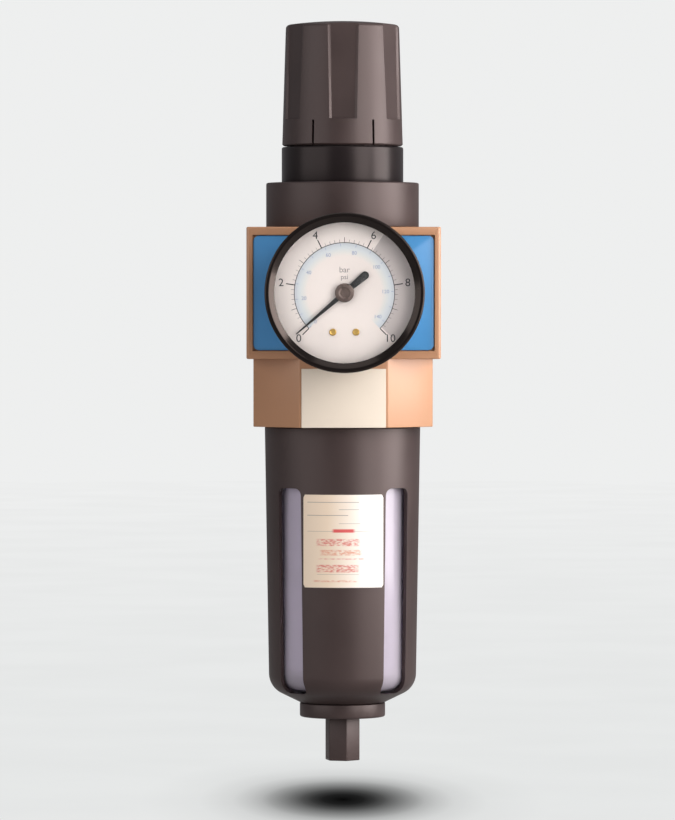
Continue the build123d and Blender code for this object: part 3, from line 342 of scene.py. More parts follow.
WARM_SHEEN = (1.0, 0.86, 0.85, 1.0)
BROWN_SHEEN = (1.0, 0.80, 0.72, 1.0)
finish("black_plastic", rgb(54, 43, 42), 0.42, wander=0.10, grain=2.2, blotch=0.05, bump=0.014,
       sockets={"Specular_IOR_Level": 0.5, "Specular_Tint": WARM_SHEEN})
finish("ring_gloss", rgb(26, 21, 22), 0.3, wander=0.08, grain=0.9, blotch=0.04, bump=0.004, rough_play=0.04,
       sockets={"Specular_IOR_Level": 0.26, "Specular_Tint": WARM_SHEEN})
finish("black_gloss", rgb(34, 29, 29), 0.24, wander=0.08, grain=0.9, blotch=0.04, bump=0.004,
       sockets={"Specular_IOR_Level": 0.5})
finish("casting_paint", rgb(176, 128, 94), 0.38, wander=0.05, grain=0.9, blotch=0.03, bump=0.016,
       sockets={"Metallic": 0.05, "Specular_IOR_Level": 0.7})
finish("panel_blue", rgb(52, 138, 200), 0.42, wander=0.05, grain=1.4, blotch=0.03, bump=0.008,
       sockets={"Specular_IOR_Level": 0.9})
finish("plate_ivory", rgb(216, 204, 189), 0.5, wander=0.03, grain=0.9, blotch=0.04, bump=0.006)
finish("zinc_steel", rgb(190, 190, 192), 0.32, wander=0.08, grain=1.1, bump=0.01, sockets={"Metallic": 1.0})
finish("white_plastic", rgb(232, 232, 228), 0.45, wander=0.03, grain=1.0, bump=0.01)
finish("black_rubber", rgb(38, 38, 38), 0.7, wander=0.12, grain=0.9, bump=0.03)
finish("brass_parts", rgb(202, 164, 92), 0.3, wander=0.08, grain=1.4, bump=0.008, sockets={"Metallic": 1.0})
finish("spring_steel", rgb(150, 150, 152), 0.28, wander=0.10, grain=1.6, bump=0.012, sockets={"Metallic": 1.0})
finish("bare_aluminium", rgb(200, 201, 203), 0.36, wander=0.06, grain=1.2, bump=0.01, sockets={"Metallic": 1.0})
finish("element_media", rgb(236, 232, 222), 0.85, wander=0.05, grain=1.6, blotch=0.12, bump=0.12)
finish("case_paint", rgb(14, 11, 11), 0.17, wander=0.10, grain=0.8, blotch=0.05, bump=0.003, rough_play=0.03,
       sockets={"Specular_IOR_Level": 0.38, "Specular_Tint": BROWN_SHEEN})
finish("dial_white", rgb(224, 212, 206), 0.55, wander=0.015, grain=0.9, blotch=0.02, bump=0.004)
finish("blue_wash", rgb(196, 200, 208), 0.55, wander=0.02, grain=0.9, blotch=0.02, bump=0.004)
# Painted shadow: a grey for the shade that the bezel casts on the right of the sunk dial.
finish("bezel_shadow_grey", rgb(184, 173, 170), 0.55, wander=0.03, grain=0.9, blotch=0.03, bump=0.004)
finish("pointer_black", rgb(22, 19, 19), 0.42, wander=0.10, grain=1.0, bump=0.006)
finish("hub_metal", rgb(92, 76, 70), 0.4, wander=0.2, grain=1.2, blotch=0.5, bump=0.03, sockets={"Metallic": 0.4})
finish("scale_ink", rgb(46, 42, 44), 0.6, wander=0.12, grain=1.0, bump=0.004)
finish("unit_ink", rgb(122, 114, 112), 0.6, wander=0.12, grain=1.0, bump=0.004)
finish("inner_ink", rgb(126, 140, 176), 0.6, wander=0.10, grain=1.0, bump=0.004)
finish("label_film", rgb(240, 232, 218), 0.42, wander=0.03, grain=0.8, blotch=0.05, bump=0.006)
finish("clear_plastic", rgb(222, 214, 228), 0.08, wander=0.02, grain=0.2, bump=0.004, rough_play=0.03,
       sockets={"Transmission_Weight": 0.62, "IOR": 1.36})
finish("clear_glass", rgb(250, 251, 252), 0.03, wander=0.01, grain=0.1, bump=0.001, rough_play=0.01,
       sockets={"Transmission_Weight": 1.0, "IOR": 1.12})
print("finishes", len(finishes))

# %% [markdown]
# ## Meshes turned on a lathe
# Most of this object is round, so most parts are a half outline swept round an axis.
# Blender's Screw modifier could do that, but building the rings directly lets any
# corner of the outline be eased by a small arc, which is what catches the light on a
# moulded or machined edge.

# %% Lathe helpers
MM = 0.001
AXIS_Z = 195.4
FRONT_Y = -38.0
ROUND = 128


def eased(corners, ease=0.25, steps=3):
    """Replaces each corner (radius, height[, ease]) of a closed outline by a small arc."""
    points = []
    count = len(corners)
    for i, corner in enumerate(corners):
        here = Vector(corner[:2])
        before = Vector(corners[i - 1][:2]) - here
        after = Vector(corners[(i + 1) % count][:2]) - here
        size = corner[2] if len(corner) > 2 else ease
        if here.x < 1e-6 or size <= 0 or before.length < 1e-6 or after.length < 1e-6:
            points.append(tuple(here))
            continue
        angle = before.angle(after)
        if angle > radians(176) or angle < radians(4):
            points.append(tuple(here))
            continue
        reach = min(size / tan(angle / 2), before.length * 0.45, after.length * 0.45)
        start, end = here + before.normalized() * reach, here + after.normalized() * reach
        middle = here + (before.normalized() + after.normalized()).normalized() * (reach / cos(angle / 2))
        first, last = start - middle, end - middle
        span = first.angle(last)
        if span < 1e-4:
            points.append(tuple(here))
            continue
        for step in range(steps + 1):
            part = step / steps
            spoke = (first * sin((1 - part) * span) + last * sin(part * span)) / sin(span)
            points.append(tuple(middle + spoke))
    return points


def upright(radius, angle, height):
    """A point round the bowl's axis, from millimetres to metres."""
    return (radius * cos(angle) * MM, radius * sin(angle) * MM, height * MM)


def gaugeward(radius, angle, forward):
    """A point round the gauge's axis, so far in front of the flange."""
    return (radius * cos(angle) * MM, (FRONT_Y - forward) * MM, (AXIS_Z + radius * sin(angle)) * MM)


def lathe(outline, place=upright, sides=ROUND):
    """Vertices and faces of a closed outline turned all the way round."""
    vertices, faces, rings = [], [], []
    for radius, height in outline:
        if radius < 1e-6:
            rings.append([len(vertices)] * sides)
            vertices.append(place(0.0, 0.0, height))
        else:
            rings.append(list(range(len(vertices), len(vertices) + sides)))
            vertices += [place(radius, 2 * pi * k / sides, height) for k in range(sides)]
    for i, ring in enumerate(rings):
        other = rings[(i + 1) % len(rings)]
        for k in range(sides):
            n = (k + 1) % sides
            face = []
            for index in (ring[k], ring[n], other[n], other[k]):
                if index not in face:
                    face.append(index)
            if len(face) > 2:
                faces.append(face)
    return vertices, faces


def shape(name, vertices, faces):
    """A loose object from vertices and faces, with its faces turned outward."""
    mesh = bpy.data.meshes.new(name)
    mesh.from_pydata([tuple(v) for v in vertices], [], faces)
    work = bmesh.new()
    work.from_mesh(mesh)
    bmesh.ops.remove_doubles(work, verts=work.verts, dist=1e-7)
    bmesh.ops.recalc_face_normals(work, faces=work.faces)
    work.to_mesh(mesh)
    work.free()
    made = bpy.data.objects.new(name, mesh)
    scene.collection.objects.link(made)
    return made


def apply_modifiers(thing):
    """Bakes a thing's modifiers into its mesh."""
    bpy.context.view_layer.update()
    graph = bpy.context.evaluated_depsgraph_get()
    mesh = bpy.data.meshes.new_from_object(thing.evaluated_get(graph))
    thing.modifiers.clear()
    thing.data = mesh


def combine(thing, tools, how="DIFFERENCE"):
    """Cuts tools out of a thing, or joins them to it, and throws the tools away."""
    for tool in tools:
        step = thing.modifiers.new("cut", "BOOLEAN")
        step.operation = how
        step.solver = "EXACT"
        step.object = tool
    apply_modifiers(thing)
    for tool in tools:
        bpy.data.objects.remove(tool)
    return thing


def dress(thing, finish_name, body, stands_for=(), slot=None, sharp=32):
    """Gives a thing its finish, its shading and its place in the model."""
    mesh = thing.data
    mesh.materials.clear()
    mesh.materials.append(finishes[finish_name].material)
    mesh.shade_smooth()
    mesh.set_sharp_from_angle(angle=radians(sharp))
    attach(thing, body)
    if stands_for:
        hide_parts(*stands_for)
    print(thing.name, len(mesh.polygons), "faces on", body)
    return thing


def turned(name, outline, finish_name, body, stands_for=(), place=upright, sides=ROUND, **more):
    return dress(shape(name, *lathe(outline, place, sides)), finish_name, body, stands_for, **more)


def prism(name, outline, plane, depth, ease=0.0, steps=2):
    """Sweeps a flat outline in mm along a plane's third axis, and eases its edges."""
    origin, across, up, out = plane
    low = [origin + across * x + up * y for x, y in outline]
    high = [point + out * depth for point in low]
    count = len(outline)
    faces = [tuple(range(count)), tuple(range(2 * count - 1, count - 1, -1))]
    faces += [(i, (i + 1) % count, count + (i + 1) % count, count + i) for i in range(count)]
    made = shape(name, [point * MM for point in low + high], faces)
    if ease:
        work = bmesh.new()
        work.from_mesh(made.data)
        edges = [e for e in work.edges if e.calc_face_angle(0) > radians(40)]
        bmesh.ops.bevel(work, geom=edges, offset=ease * MM, segments=steps, affect="EDGES", profile=0.5)
        work.to_mesh(made.data)
        work.free()
    return made


def flat(origin, out, up=(0, 0, 1)):
    """A plane for a prism: its origin, its two directions, and the way it is swept."""
    out, up = Vector(out).normalized(), Vector(up)
    across = up.cross(out).normalized()
    return Vector(origin), across, out.cross(across).normalized(), out


def rounded_box(width, height, corner, steps=4, at=(0, 0)):
    """The outline of a rectangle with round corners."""
    points = []
    for quarter, (sx, sy) in enumerate(((1, 1), (-1, 1), (-1, -1), (1, -1))):
        cx, cy = at[0] + sx * (width / 2 - corner), at[1] + sy * (height / 2 - corner)
        for step in range(steps + 1):
            angle = pi / 2 * (quarter + step / steps)
            points.append((cx + corner * cos(angle), cy + corner * sin(angle)))
    return points


def circle(radius, sides=64, at=(0, 0)):
    return [(at[0] + radius * cos(2 * pi * k / sides), at[1] + radius * sin(2 * pi * k / sides)) for k in range(sides)]


print("helpers ready")

# %% [markdown]
# ## Body casting
# The real body is one aluminium casting: a square block with a recessed panel front
# and back, an eight-sided skirt under it, and a round neck on top. It could be drawn
# face by face, but it is quicker and truer to do what the foundry and the mill do:
# join three simple blocks, then take out the ports, recesses and chambers.

# %% Blocks of the casting
UP = Vector((0, 0, 1))
FLANGE_FOOT, FLANGE_TOP = 168.2, 222.6
BLOCK_FOOT = 139.9
NECK_TOP = 233.6


def casting_blocks():
    flange = prism("casting", rounded_box(80.0, 76.0, 1.2), flat((0, 0, FLANGE_FOOT), UP, (0, 1, 0)),
                   FLANGE_TOP - FLANGE_FOOT, ease=0.6, steps=3)
    half, cut = 37.2, 18.9
    ring = [(half, half - cut), (half - cut, half), (cut - half, half), (-half, half - cut)]
    ring += [(-x, -y) for x, y in ring]
    block = prism("block", ring, flat((0, 0, BLOCK_FOOT), UP, (0, 1, 0)), FLANGE_FOOT - BLOCK_FOOT + 1.0, ease=0.35)
    neck = shape("neck", *lathe([(0, FLANGE_TOP - 2), (28.6, FLANGE_TOP - 2), (28.6, NECK_TOP), (0, NECK_TOP)]))
    return combine(flange, [block, neck], "UNION")


casting = casting_blocks()

# %% Ports and recesses


def threaded(name, plane, radius, depth, pitch, bite, mouth=0.6):
    """A cutter for a tapped hole: a chamfered mouth, then a groove for every turn."""
    origin, across, up, out = plane
    outline = [(0.0, -1.0), (radius + bite + mouth, -1.0), (radius + bite + mouth, 0.0), (radius + bite, mouth)]
    turns = int((depth - mouth) / pitch)
    for turn in range(turns):
        level = mouth + turn * pitch
        outline += [(radius, level + pitch * 0.5), (radius + bite, level + pitch * 0.94)]
    outline += [(radius, depth), (0.0, depth)]

    def place(r, angle, level):
        return (origin + across * (r * cos(angle)) + up * (r * sin(angle)) - out * level) * MM

    return shape(name, *lathe(outline, place, 96))


def bore(name, plane, radius, depth, sides=64):
    origin, across, up, out = plane
    return prism(name, circle(radius, sides), (origin + out * 1.0, across, up, -out), depth + 1.0)


def casting_tools():
    tools = []
    for side in (-1, 1):
        face = flat((side * 40.0, 0, AXIS_Z), (side, 0, 0))
        tools.append(bore("spot", face, 14.0, 0.6, 96))
        tools.append(threaded("port", flat((side * 39.4, 0, AXIS_Z), (side, 0, 0)), 9.315, 16.0, 1.814, 0.75))
        tools.append(bore("passage", face, 8.0, 20.0))
        front = flat((0, side * 38.0, AXIS_Z), (0, side, 0))
        origin, across, up, out = front
        tools.append(prism("recess", rounded_box(75.0, 47.8, 0.4), (origin + out, across, up, -out), 2.8))
        tools.append(bore("gauge_port", front, 5.725, 13.0))
    tools.append(shape("chambers", *lathe([
        (0, 136.0), (30.9, 136.0), (30.9, 159.9), (28.8, 159.9), (28.8, 165.9), (27.5, 165.9), (27.5, 182.9),
        (17.0, 182.9), (17.0, 165.9), (11.0, 165.9), (11.0, 197.9), (9.05, 197.9), (9.05, 205.9), (25.0, 205.9),
        (25.0, 236.0), (0, 236.0)])))
    return tools


combine(casting, casting_tools())
dress(casting, "casting_paint", "body", ["body_casting"], sharp=40)

# %% [markdown]
# ## Blue panels, plate and plug
# A coloured plate lies in each recess, a little smaller than it, so a dark line runs
# all round. They could be one slab each; easing their front edge by two tenths of a
# millimetre gives the thin bright line that a stamped and painted plate shows.

# %% Panels


def panel(name, side, node):
    origin, across, up, out = flat((0, side * 36.2, AXIS_Z), (0, side, 0))
    made = prism(name, rounded_box(74.4, 47.2, 2.5, 6), (origin, across, up, out), 1.0, ease=0.2)
    hole = prism("hole", circle(8.5, 64), (origin - out, across, up, out), 4.0)
    combine(made, [hole])
    return dress(made, "panel_blue", "body", [node])


panels = [panel("front_blue", -1, "front_panel"), panel("rear_blue", 1, "rear_panel")]

plate = prism("ivory_plate", rounded_box(34.8, 24.3, 0.3), flat((0, -37.2, 152.05), (0, -1, 0)), 0.5, ease=0.12)
dress(plate, "plate_ivory", "body", ["name_plate"])

# %% [markdown]
# ## Bonnet, neck ring and the spring tower
# The bonnet screws on the casting's neck, and its tower runs up inside the knob. The
# plain ring on the tower clamps a panel. Both are moulded and turned, so both are
# lathe work, and the ring is polished more than the rest.

# %% Bonnet and ring
turned("bonnet_cap", eased([
    (28.7, 222.9), (31.9, 222.9, 0.3), (31.9, 241.4, 0.7), (20.6, 241.4, 0.4), (20.6, 288.4, 0.6), (5.05, 288.4),
    (5.05, 284.4), (16.2, 284.4), (16.2, 238.4), (25.0, 238.4), (25.0, 236.2), (28.7, 236.2)]),
    "black_plastic", "body", ["bonnet"], sides=160)
turned("neck_ring_nut", eased([
    (20.7, 241.4), (25.4, 241.4, 0.3), (25.4, 256.3, 0.7), (20.7, 256.3)]),
    "ring_gloss", "body", ["neck_ring"], sides=160, slot="black_gloss")

# %% [markdown]
# ## Knob
# The knob is the part that a hand knows: a tapered cap with six flat flutes, a
# crowned top, and six short slits that let its skirt spring over the lock. Cutting
# the flutes with booleans leaves ragged shading, so its outline is turned as usual,
# but each column of the mesh leans with the flute's edge and is pushed in to its flat.

# %% Knob shape
KNOB_FOOT, KNOB_TOP = 256.8, 308.8
KNOB_FOOT_R, KNOB_TOP_R = 25.2, 23.6
TAPER = (KNOB_FOOT_R - KNOB_TOP_R) / (KNOB_TOP - KNOB_FOOT)
FLUTE_FOOT = KNOB_FOOT + 10.8
FLUTE_DEPTH = 1.3


def knob_outline():
    """The outside from the foot to the crown's middle, then the hollow inside."""
    side = [(22.9, KNOB_FOOT), (24.6, KNOB_FOOT), (25.2, KNOB_FOOT + 0.6)]
    levels = [KNOB_FOOT + 4, FLUTE_FOOT - 0.25, FLUTE_FOOT - 0.02, FLUTE_FOOT + 0.16, FLUTE_FOOT + 0.4]
    levels += [FLUTE_FOOT + 4 + 3.2 * k for k in range(11)]
    side += [(KNOB_FOOT_R - TAPER * (z - KNOB_FOOT), z) for z in levels]
    edge_r, edge_z, ease = 23.668, 306.6, 1.6
    bend = radians(82)
    turn_x, turn_z = edge_r - ease, edge_z - ease * 0.55
    rim = []
    for step in range(13):
        angle = -radians(1.5) + bend * step / 12
        rim.append((turn_x + ease * cos(angle), turn_z + ease * sin(angle)))
    start_r, start_z = rim[-1]
    crown = []
    for step in range(1, 15):
        part = step / 14
        radius = start_r * (1 - part)
        crown.append((radius, start_z + (KNOB_TOP - start_z) * (1 - (1 - part) ** 2)))
    inside = [(0, 300.2), (5.05, 300.2), (5.05, 288.7), (8.5, 288.7), (8.5, 303.6), (21.17, 303.6)]
    return side + rim + crown, inside


def flute_half_width(z):
    share = (z - FLUTE_FOOT) / (KNOB_TOP + 0.5 - FLUTE_FOOT)
    return (11.4 + (13.0 - 11.4) * min(max(share, 0.0), 1.0)) / 2


def knob_shape():
    outside, inside = knob_outline()
    ridge = [0.0, 0.3, 0.6, 0.85, 0.97]
    flute = [-1.0, -0.86, -0.8, -0.55, -0.28, 0.0, 0.28, 0.55, 0.8, 0.86, 1.0]
    vertices, rings = [], []
    for index, (radius, z) in enumerate(outside + inside):
        ring = []
        grooved = index < len(outside) and z >= FLUTE_FOOT + 0.1
        wall = KNOB_FOOT_R - TAPER * (max(z, FLUTE_FOOT) - KNOB_FOOT)
        floor_at = wall - FLUTE_DEPTH
        half = asin(min(0.9, flute_half_width(z) / wall))
        for k in range(6):
            centre = radians(60 * k - 90)
            left = radians(-30)
            columns = [(left + (-half - left) * part, False) for part in ridge]
            columns += [(half * part, abs(part) < 0.99) for part in flute]
            columns += [(-(left + (-half - left) * part), False) for part in reversed(ridge[1:])]
            for offset, sunk in columns:
                reach = radius
                if grooved and sunk:
                    reach = min(radius, floor_at / cos(offset))
                ring.append(len(vertices))
                vertices.append(upright(reach, centre + offset, z))
        rings.append(ring)
    faces = []
    sides = len(rings[0])
    for i, ring in enumerate(rings):
        other = rings[(i + 1) % len(rings)]
        faces += [(ring[k], ring[(k + 1) % sides], other[(k + 1) % sides], other[k]) for k in range(sides)]
    return shape("fluted_knob", vertices, faces)


knob = knob_shape()
slits = []
for k in range(3):
    angle = radians(60 * k)
    out = Vector((cos(angle), sin(angle), 0))
    across = Vector((-sin(angle), cos(angle), 0))
    outline = [(-30, -0.5), (30, -0.5), (30, 0.5), (-30, 0.5)]
    slits.append(prism("slit", outline, (Vector((0, 0, KNOB_FOOT - 1)), out, across, UP), 11.4))
combine(knob, slits)
dress(knob, "black_plastic", "knob", ["knob"], sharp=28)

# %% [markdown]
# ## Guard
# The guard is a black tube that tapers towards a rounded shoulder, with four long
# sight slots. Leaving faces out of a grid would give square slots, so the tube is
# turned first and the slots, with their rounded ends, are cut through it.

# %% Guard
GUARD_FOOT = 24.4
SHELF = 139.6


def guard_shape():
    outline = eased([
        (12.0, 24.4, 0.2), (17.85, 24.4, 1.2), (30.7, 30.667, 9.0), (32.5, 139.6, 0.5), (30.6, 139.6, 0.2), (30.6, 156.1, 0.5),
        (28.8, 156.1), (28.8, 135.6), (30.6, 135.6), (28.8, 31.85, 7.1), (17.42, 26.3, 0.5), (12.0, 26.3)], steps=8)
    tube = shape("slotted_guard", *lathe(outline, sides=192))
    slots = []
    for angle in (45, 135, 225, 315):
        out = Vector((cos(radians(angle)), sin(radians(angle)), 0))
        plane = flat(Vector((0, 0, 71.75)) + out * 10, out)
        slots.append(prism("slot", rounded_box(13.0, 85.5, 3.0, 6), plane, 26.0))
    return combine(tube, slots)


guard = dress(guard_shape(), "black_plastic", "guard", ["guard"], sharp=30)

# %% [markdown]
# ## Label
# The paper label is wrapped on the guard between the two front slots. A decal image
# would carry printing; here it is a thin curved sheet, and its bare ruled lines and
# soft coloured bands come from its height alone.

# %% Label
LABEL_FOOT, LABEL_TOP, LABEL_HALF = 73.7, 112.1, 16.5


def label_shape():
    across, up, corner = 28, 32, 0.6
    lean = (32.5 - 30.7) / (139.6 - 30.667)
    front, back = [], []
    for j in range(up + 1):
        z = LABEL_FOOT + (LABEL_TOP - LABEL_FOOT) * j / up
        edge = min(z - LABEL_FOOT, LABEL_TOP - z)
        half = LABEL_HALF
        if edge < corner:
            half -= corner - sqrt(corner ** 2 - (corner - edge) ** 2)
        base = 30.7 + lean * (z - 30.667)
        for i in range(across + 1):
            x = half * (2 * i / across - 1)
            front.append((x * MM, -sqrt((base + 0.25) ** 2 - x * x) * MM, z * MM))
            back.append((x * MM, -sqrt((base + 0.05) ** 2 - x * x) * MM, z * MM))
    row, total = across + 1, len(front)
    faces = []
    for j in range(up):
        for i in range(across):
            a = j * row + i
            faces.append((a, a + 1, a + row + 1, a + row))
            faces.append((total + a, total + a + row, total + a + row + 1, total + a + 1))
    rim = [i for i in range(row)] + [j * row + across for j in range(1, up + 1)]
    rim += [up * row + i for i in range(across - 1, -1, -1)] + [j * row for j in range(up - 1, 0, -1)]
    for a, b in zip(rim, rim[1:] + rim[:1]):
        faces.append((b, a, total + a, total + b))
    return shape("guard_label", front + back, faces)


def between(look, value, low, high, soft):
    """1 where a value lies between two limits, with soft edges."""
    edges = []
    for start, end in ((low, low + soft), (high, high - soft)):
        edge = look.node("ShaderNodeMapRange")
        edge.inputs["From Min"].default_value = start * MM
        edge.inputs["From Max"].default_value = end * MM
        look.tree.links.new(value, edge.inputs["Value"])
        edges.append(edge.outputs["Result"])
    both = look.node("ShaderNodeMath")
    both.operation = "MINIMUM"
    look.tree.links.new(edges[0], both.inputs[0])
    look.tree.links.new(edges[1], both.inputs[1])
    return both.outputs[0]


def print_label():
    """Bare ruled lines and soft bands of colour, in the label's own finish, on a ground with painted shade to the
    left.
    """
    look = finishes["label_film"]
    split = look.node("ShaderNodeSeparateXYZ")
    look.tree.links.new(look.space, split.inputs[0])
    across, up = split.outputs["X"], split.outputs["Z"]
    side = look.node("ShaderNodeMapRange")
    side.inputs["From Min"].default_value = -LABEL_HALF * MM
    side.inputs["From Max"].default_value = LABEL_HALF * MM
    look.tree.links.new(across, side.inputs["Value"])
    # Painted shade: the label's ground is darker and creamier to the left and whiter to the right, where the light
    # falls.
    colour = look.ramp(side.outputs["Result"], (0.30, rgb(228, 208, 186)), (0.75, rgb(232, 226, 220)))
    stretch = look.node("ShaderNodeMapping")
    stretch.inputs["Scale"].default_value = (1.0, 1.0, 2.6)
    look.tree.links.new(look.space, stretch.inputs["Vector"])
    flecks = look.node("ShaderNodeMapRange")
    flecks.inputs["From Min"].default_value = 0.36
    flecks.inputs["From Max"].default_value = 0.62
    look.tree.links.new(look.noise(700.0, 2.0, stretch.outputs["Vector"]), flecks.inputs["Value"])
    grey, red, pink, peach = rgb(128, 122, 122), rgb(206, 74, 76), rgb(208, 128, 120), rgb(216, 160, 138)
    prints = [(grey, -15.0, 6.5, 109.0, 0.30, 1.0), (grey, -2.0, 6.5, 106.0, 0.30, 0.8), (grey, -15.0, 2.0, 103.6, 0.30, 1.0),
              (grey, -2.0, 7.0, 100.2, 0.28, 0.7), (grey, -15.0, 14.0, 97.0, 0.24, 0.7), (red, -5.0, 5.0, 97.2, 1.7, 0.95),
              (pink, -11.5, 7.0, 92.4, 3.2, 0.75), (peach, -10.0, 8.0, 88.2, 2.6, 0.6), (pink, -11.0, 9.0, 85.6, 0.5, 0.8),
              (pink, -11.5, 6.5, 81.6, 3.4, 0.75), (grey, -11.0, 6.5, 79.2, 0.26, 0.6), (peach, -13.0, 6.0, 76.4, 1.0, 0.7)]
    for ink, left, right, middle, thick, strength in prints:
        soft = min(1.2, (right - left) / 8) if thick > 0.4 else 0.2
        wide = between(look, across, left, right, soft)
        tall = between(look, up, middle - thick / 2, middle + thick / 2, min(0.3, thick / 3))
        cover = look.node("ShaderNodeMath")
        cover.operation = "MULTIPLY"
        look.tree.links.new(wide, cover.inputs[0])
        look.tree.links.new(tall, cover.inputs[1])
        amount = look.node("ShaderNodeMath")
        amount.operation = "MULTIPLY"
        look.tree.links.new(cover.outputs[0], amount.inputs[0])
        amount.inputs[1].default_value = strength
        if ink in (pink, peach):
            look.tree.links.new(flecks.outputs["Result"], amount.inputs[1])
        mix = look.node("ShaderNodeMix")
        mix.data_type = "RGBA"
        look.tree.links.new(amount.outputs[0], mix.inputs["Factor"])
        look.tree.links.new(colour, mix.inputs["A"])
        mix.inputs["B"].default_value = ink
        colour = mix.outputs["Result"]
    look.link(colour, "Base Color")


print_label()
dress(label_shape(), "label_film", "guard", ["bowl_label"])

# %% [markdown]
# ## Bowl and drain
# The bowl is blown clear plastic with a faint violet cast. Drawing only its outer
# skin would make it look like a solid lens, so both walls are turned, and light has
# to pass two surfaces on each side as it does in the real one.

# %% Bowl, nut and stem
turned("clear_bowl", eased([
    (8.0, 24.1), (11.5, 24.1), (11.5, 29.5), (28.3, 29.5, 13.0), (28.3, 156.4), (30.6, 156.4), (30.6, 159.6),
    (28.3, 159.6), (28.3, 160.85), (26.9, 160.85), (26.9, 162.65), (28.3, 162.65), (28.3, 163.9), (25.8, 163.9),
    (25.8, 32.5, 10.5), (8.0, 32.5)], steps=10), "clear_plastic", "bowl", ["bowl"], sides=160)
turned("drain_nut_ring", eased([
    (8.0, 18.3), (17.85, 18.3, 0.8), (17.85, 24.1, 0.3), (8.0, 24.1)]), "black_plastic", "bowl", ["drain_nut"], sides=160, slot="black_gloss")


def stem_shape():
    corner = 6.5 / cos(radians(30))
    turn = radians(-17.5)
    outline = [(corner * cos(turn + pi / 3 * k), corner * sin(turn + pi / 3 * k)) for k in range(6)]
    stem = prism("hex_stem", outline, flat((0, 0, 0), UP, (0, 1, 0)), 18.0, ease=0.35, steps=3)
    spindle = shape("spindle", *lathe([(0, 17.0), (4.5, 17.0), (4.5, 38.0), (0, 38.0)], sides=64))
    combine(stem, [spindle], "UNION")
    mouth = threaded("mouth", flat((0, 0, 0), (0, 0, -1), (0, 1, 0)), 4.285, 9.0, 0.907, 0.4, 0.4)
    water = bore("water", flat((0, 0, 0), (0, 0, -1), (0, 1, 0)), 1.8, 36.0, 32)
    side = bore("side", flat((12, 0, 37.0), (1, 0, 0)), 0.9, 14.0, 24)
    return combine(stem, [mouth, water, side])


dress(stem_shape(), "black_plastic", "drain", ["drain_stem"], sharp=30)

# %% [markdown]
# ## Gauge
# A pressed steel case with a snapped-on bezel, a white dial under glass, and a black
# pointer with a broad tail. The dial's marks could be a printed picture; here they
# are thin inlaid shapes, so they stay sharp in any view.

# %% Case, bezel and glass
turned("gauge_can", eased([
    (5.05, 6.0), (29.3, 6.0, 1.6), (31.3, 8.0, 1.0), (31.3, 28.0, 0.2), (30.3, 28.0, 0.2), (30.3, 8.0, 0.6), (29.3, 7.0, 0.6),
    (5.05, 7.0)]), "case_paint", "body", ["gauge_case"], place=gaugeward, sides=160)
turned("gauge_rim", eased([
    (31.35, 21.95, 0.2), (32.6, 21.95, 0.6), (32.6, 30.45, 1.3), (30.9, 30.45, 0.5), (28.6, 28.65, 0.25), (28.6, 28.05, 0.1),
    (31.35, 28.05, 0.1)], steps=6), "case_paint", "body", ["gauge_bezel"], place=gaugeward, sides=192)
turned("gauge_window", eased([(0, 26.0), (30.25, 26.0, 0.1), (30.25, 28.0, 0.1), (0, 28.0)]), "clear_glass", "body",
       ["gauge_lens"], place=gaugeward, sides=128)

# %% Dial and its scale
DIAL_FRONT = 22.6
START_ANGLE, SCALE_SWEEP, SCALE_TOP = 225.0, 270.0, 10


def dial_plane(forward, x=0.0, up=0.0):
    return flat((x, FRONT_Y - forward, AXIS_Z + up), (0, -1, 0))


def dial_bar(name, angle, inner, outer, width, forward=DIAL_FRONT, thick=0.04):
    """A short mark that lies along a radius of the dial."""
    turn = radians(angle)
    along, across = Vector((cos(turn), sin(turn))), Vector((-sin(turn), cos(turn)))
    corners = [along * inner - across * width / 2, along * outer - across * width / 2,
               along * outer + across * width / 2, along * inner + across * width / 2]
    return prism(name, [tuple(c) for c in corners], dial_plane(forward), thick)


def arc_band(name, inner, outer, first, last, steps=72, forward=DIAL_FRONT, thick=0.03):
    """A flat band along part of a circle on the dial."""
    outside = [(outer * cos(radians(first + (last - first) * k / steps)), outer * sin(radians(first + (last - first) * k / steps))) for k in range(steps + 1)]
    inside = [(inner * cos(radians(last + (first - last) * k / steps)), inner * sin(radians(last + (first - last) * k / steps))) for k in range(steps + 1)]
    return prism(name, outside + inside, dial_plane(forward), thick)


def join(name, things):
    """Makes one thing of several loose ones."""
    work = bmesh.new()
    for thing in things:
        work.from_mesh(thing.data)
        bpy.data.objects.remove(thing)
    mesh = bpy.data.meshes.new(name)
    work.to_mesh(mesh)
    work.free()
    made = bpy.data.objects.new(name, mesh)
    scene.collection.objects.link(made)
    return made


def numeral(text, angle, radius, height):
    """A number on the dial, drawn upright with its middle at an angle and a radius."""
    curve = bpy.data.curves.new("numeral", "FONT")
    curve.body = text
    curve.size = height * MM
    curve.align_x, curve.align_y = "CENTER", "CENTER"
    curve.extrude = 0.02 * MM
    letter = bpy.data.objects.new("numeral", curve)
    scene.collection.objects.link(letter)
    bpy.context.view_layer.update()
    mesh = bpy.data.meshes.new_from_object(letter.evaluated_get(bpy.context.evaluated_depsgraph_get()))
    bpy.data.objects.remove(letter)
    turn = radians(angle)
    x, z = radius * cos(turn), AXIS_Z + radius * sin(turn)
    mesh.transform(Matrix.Translation(Vector((x, FRONT_Y - DIAL_FRONT - 0.03, z)) * MM) @ Matrix.Rotation(pi / 2, 4, "X"))
    made = bpy.data.objects.new("numeral", mesh)
    scene.collection.objects.link(made)
    return made


def value_angle(value, top=SCALE_TOP):
    return START_ANGLE - SCALE_SWEEP * value / top


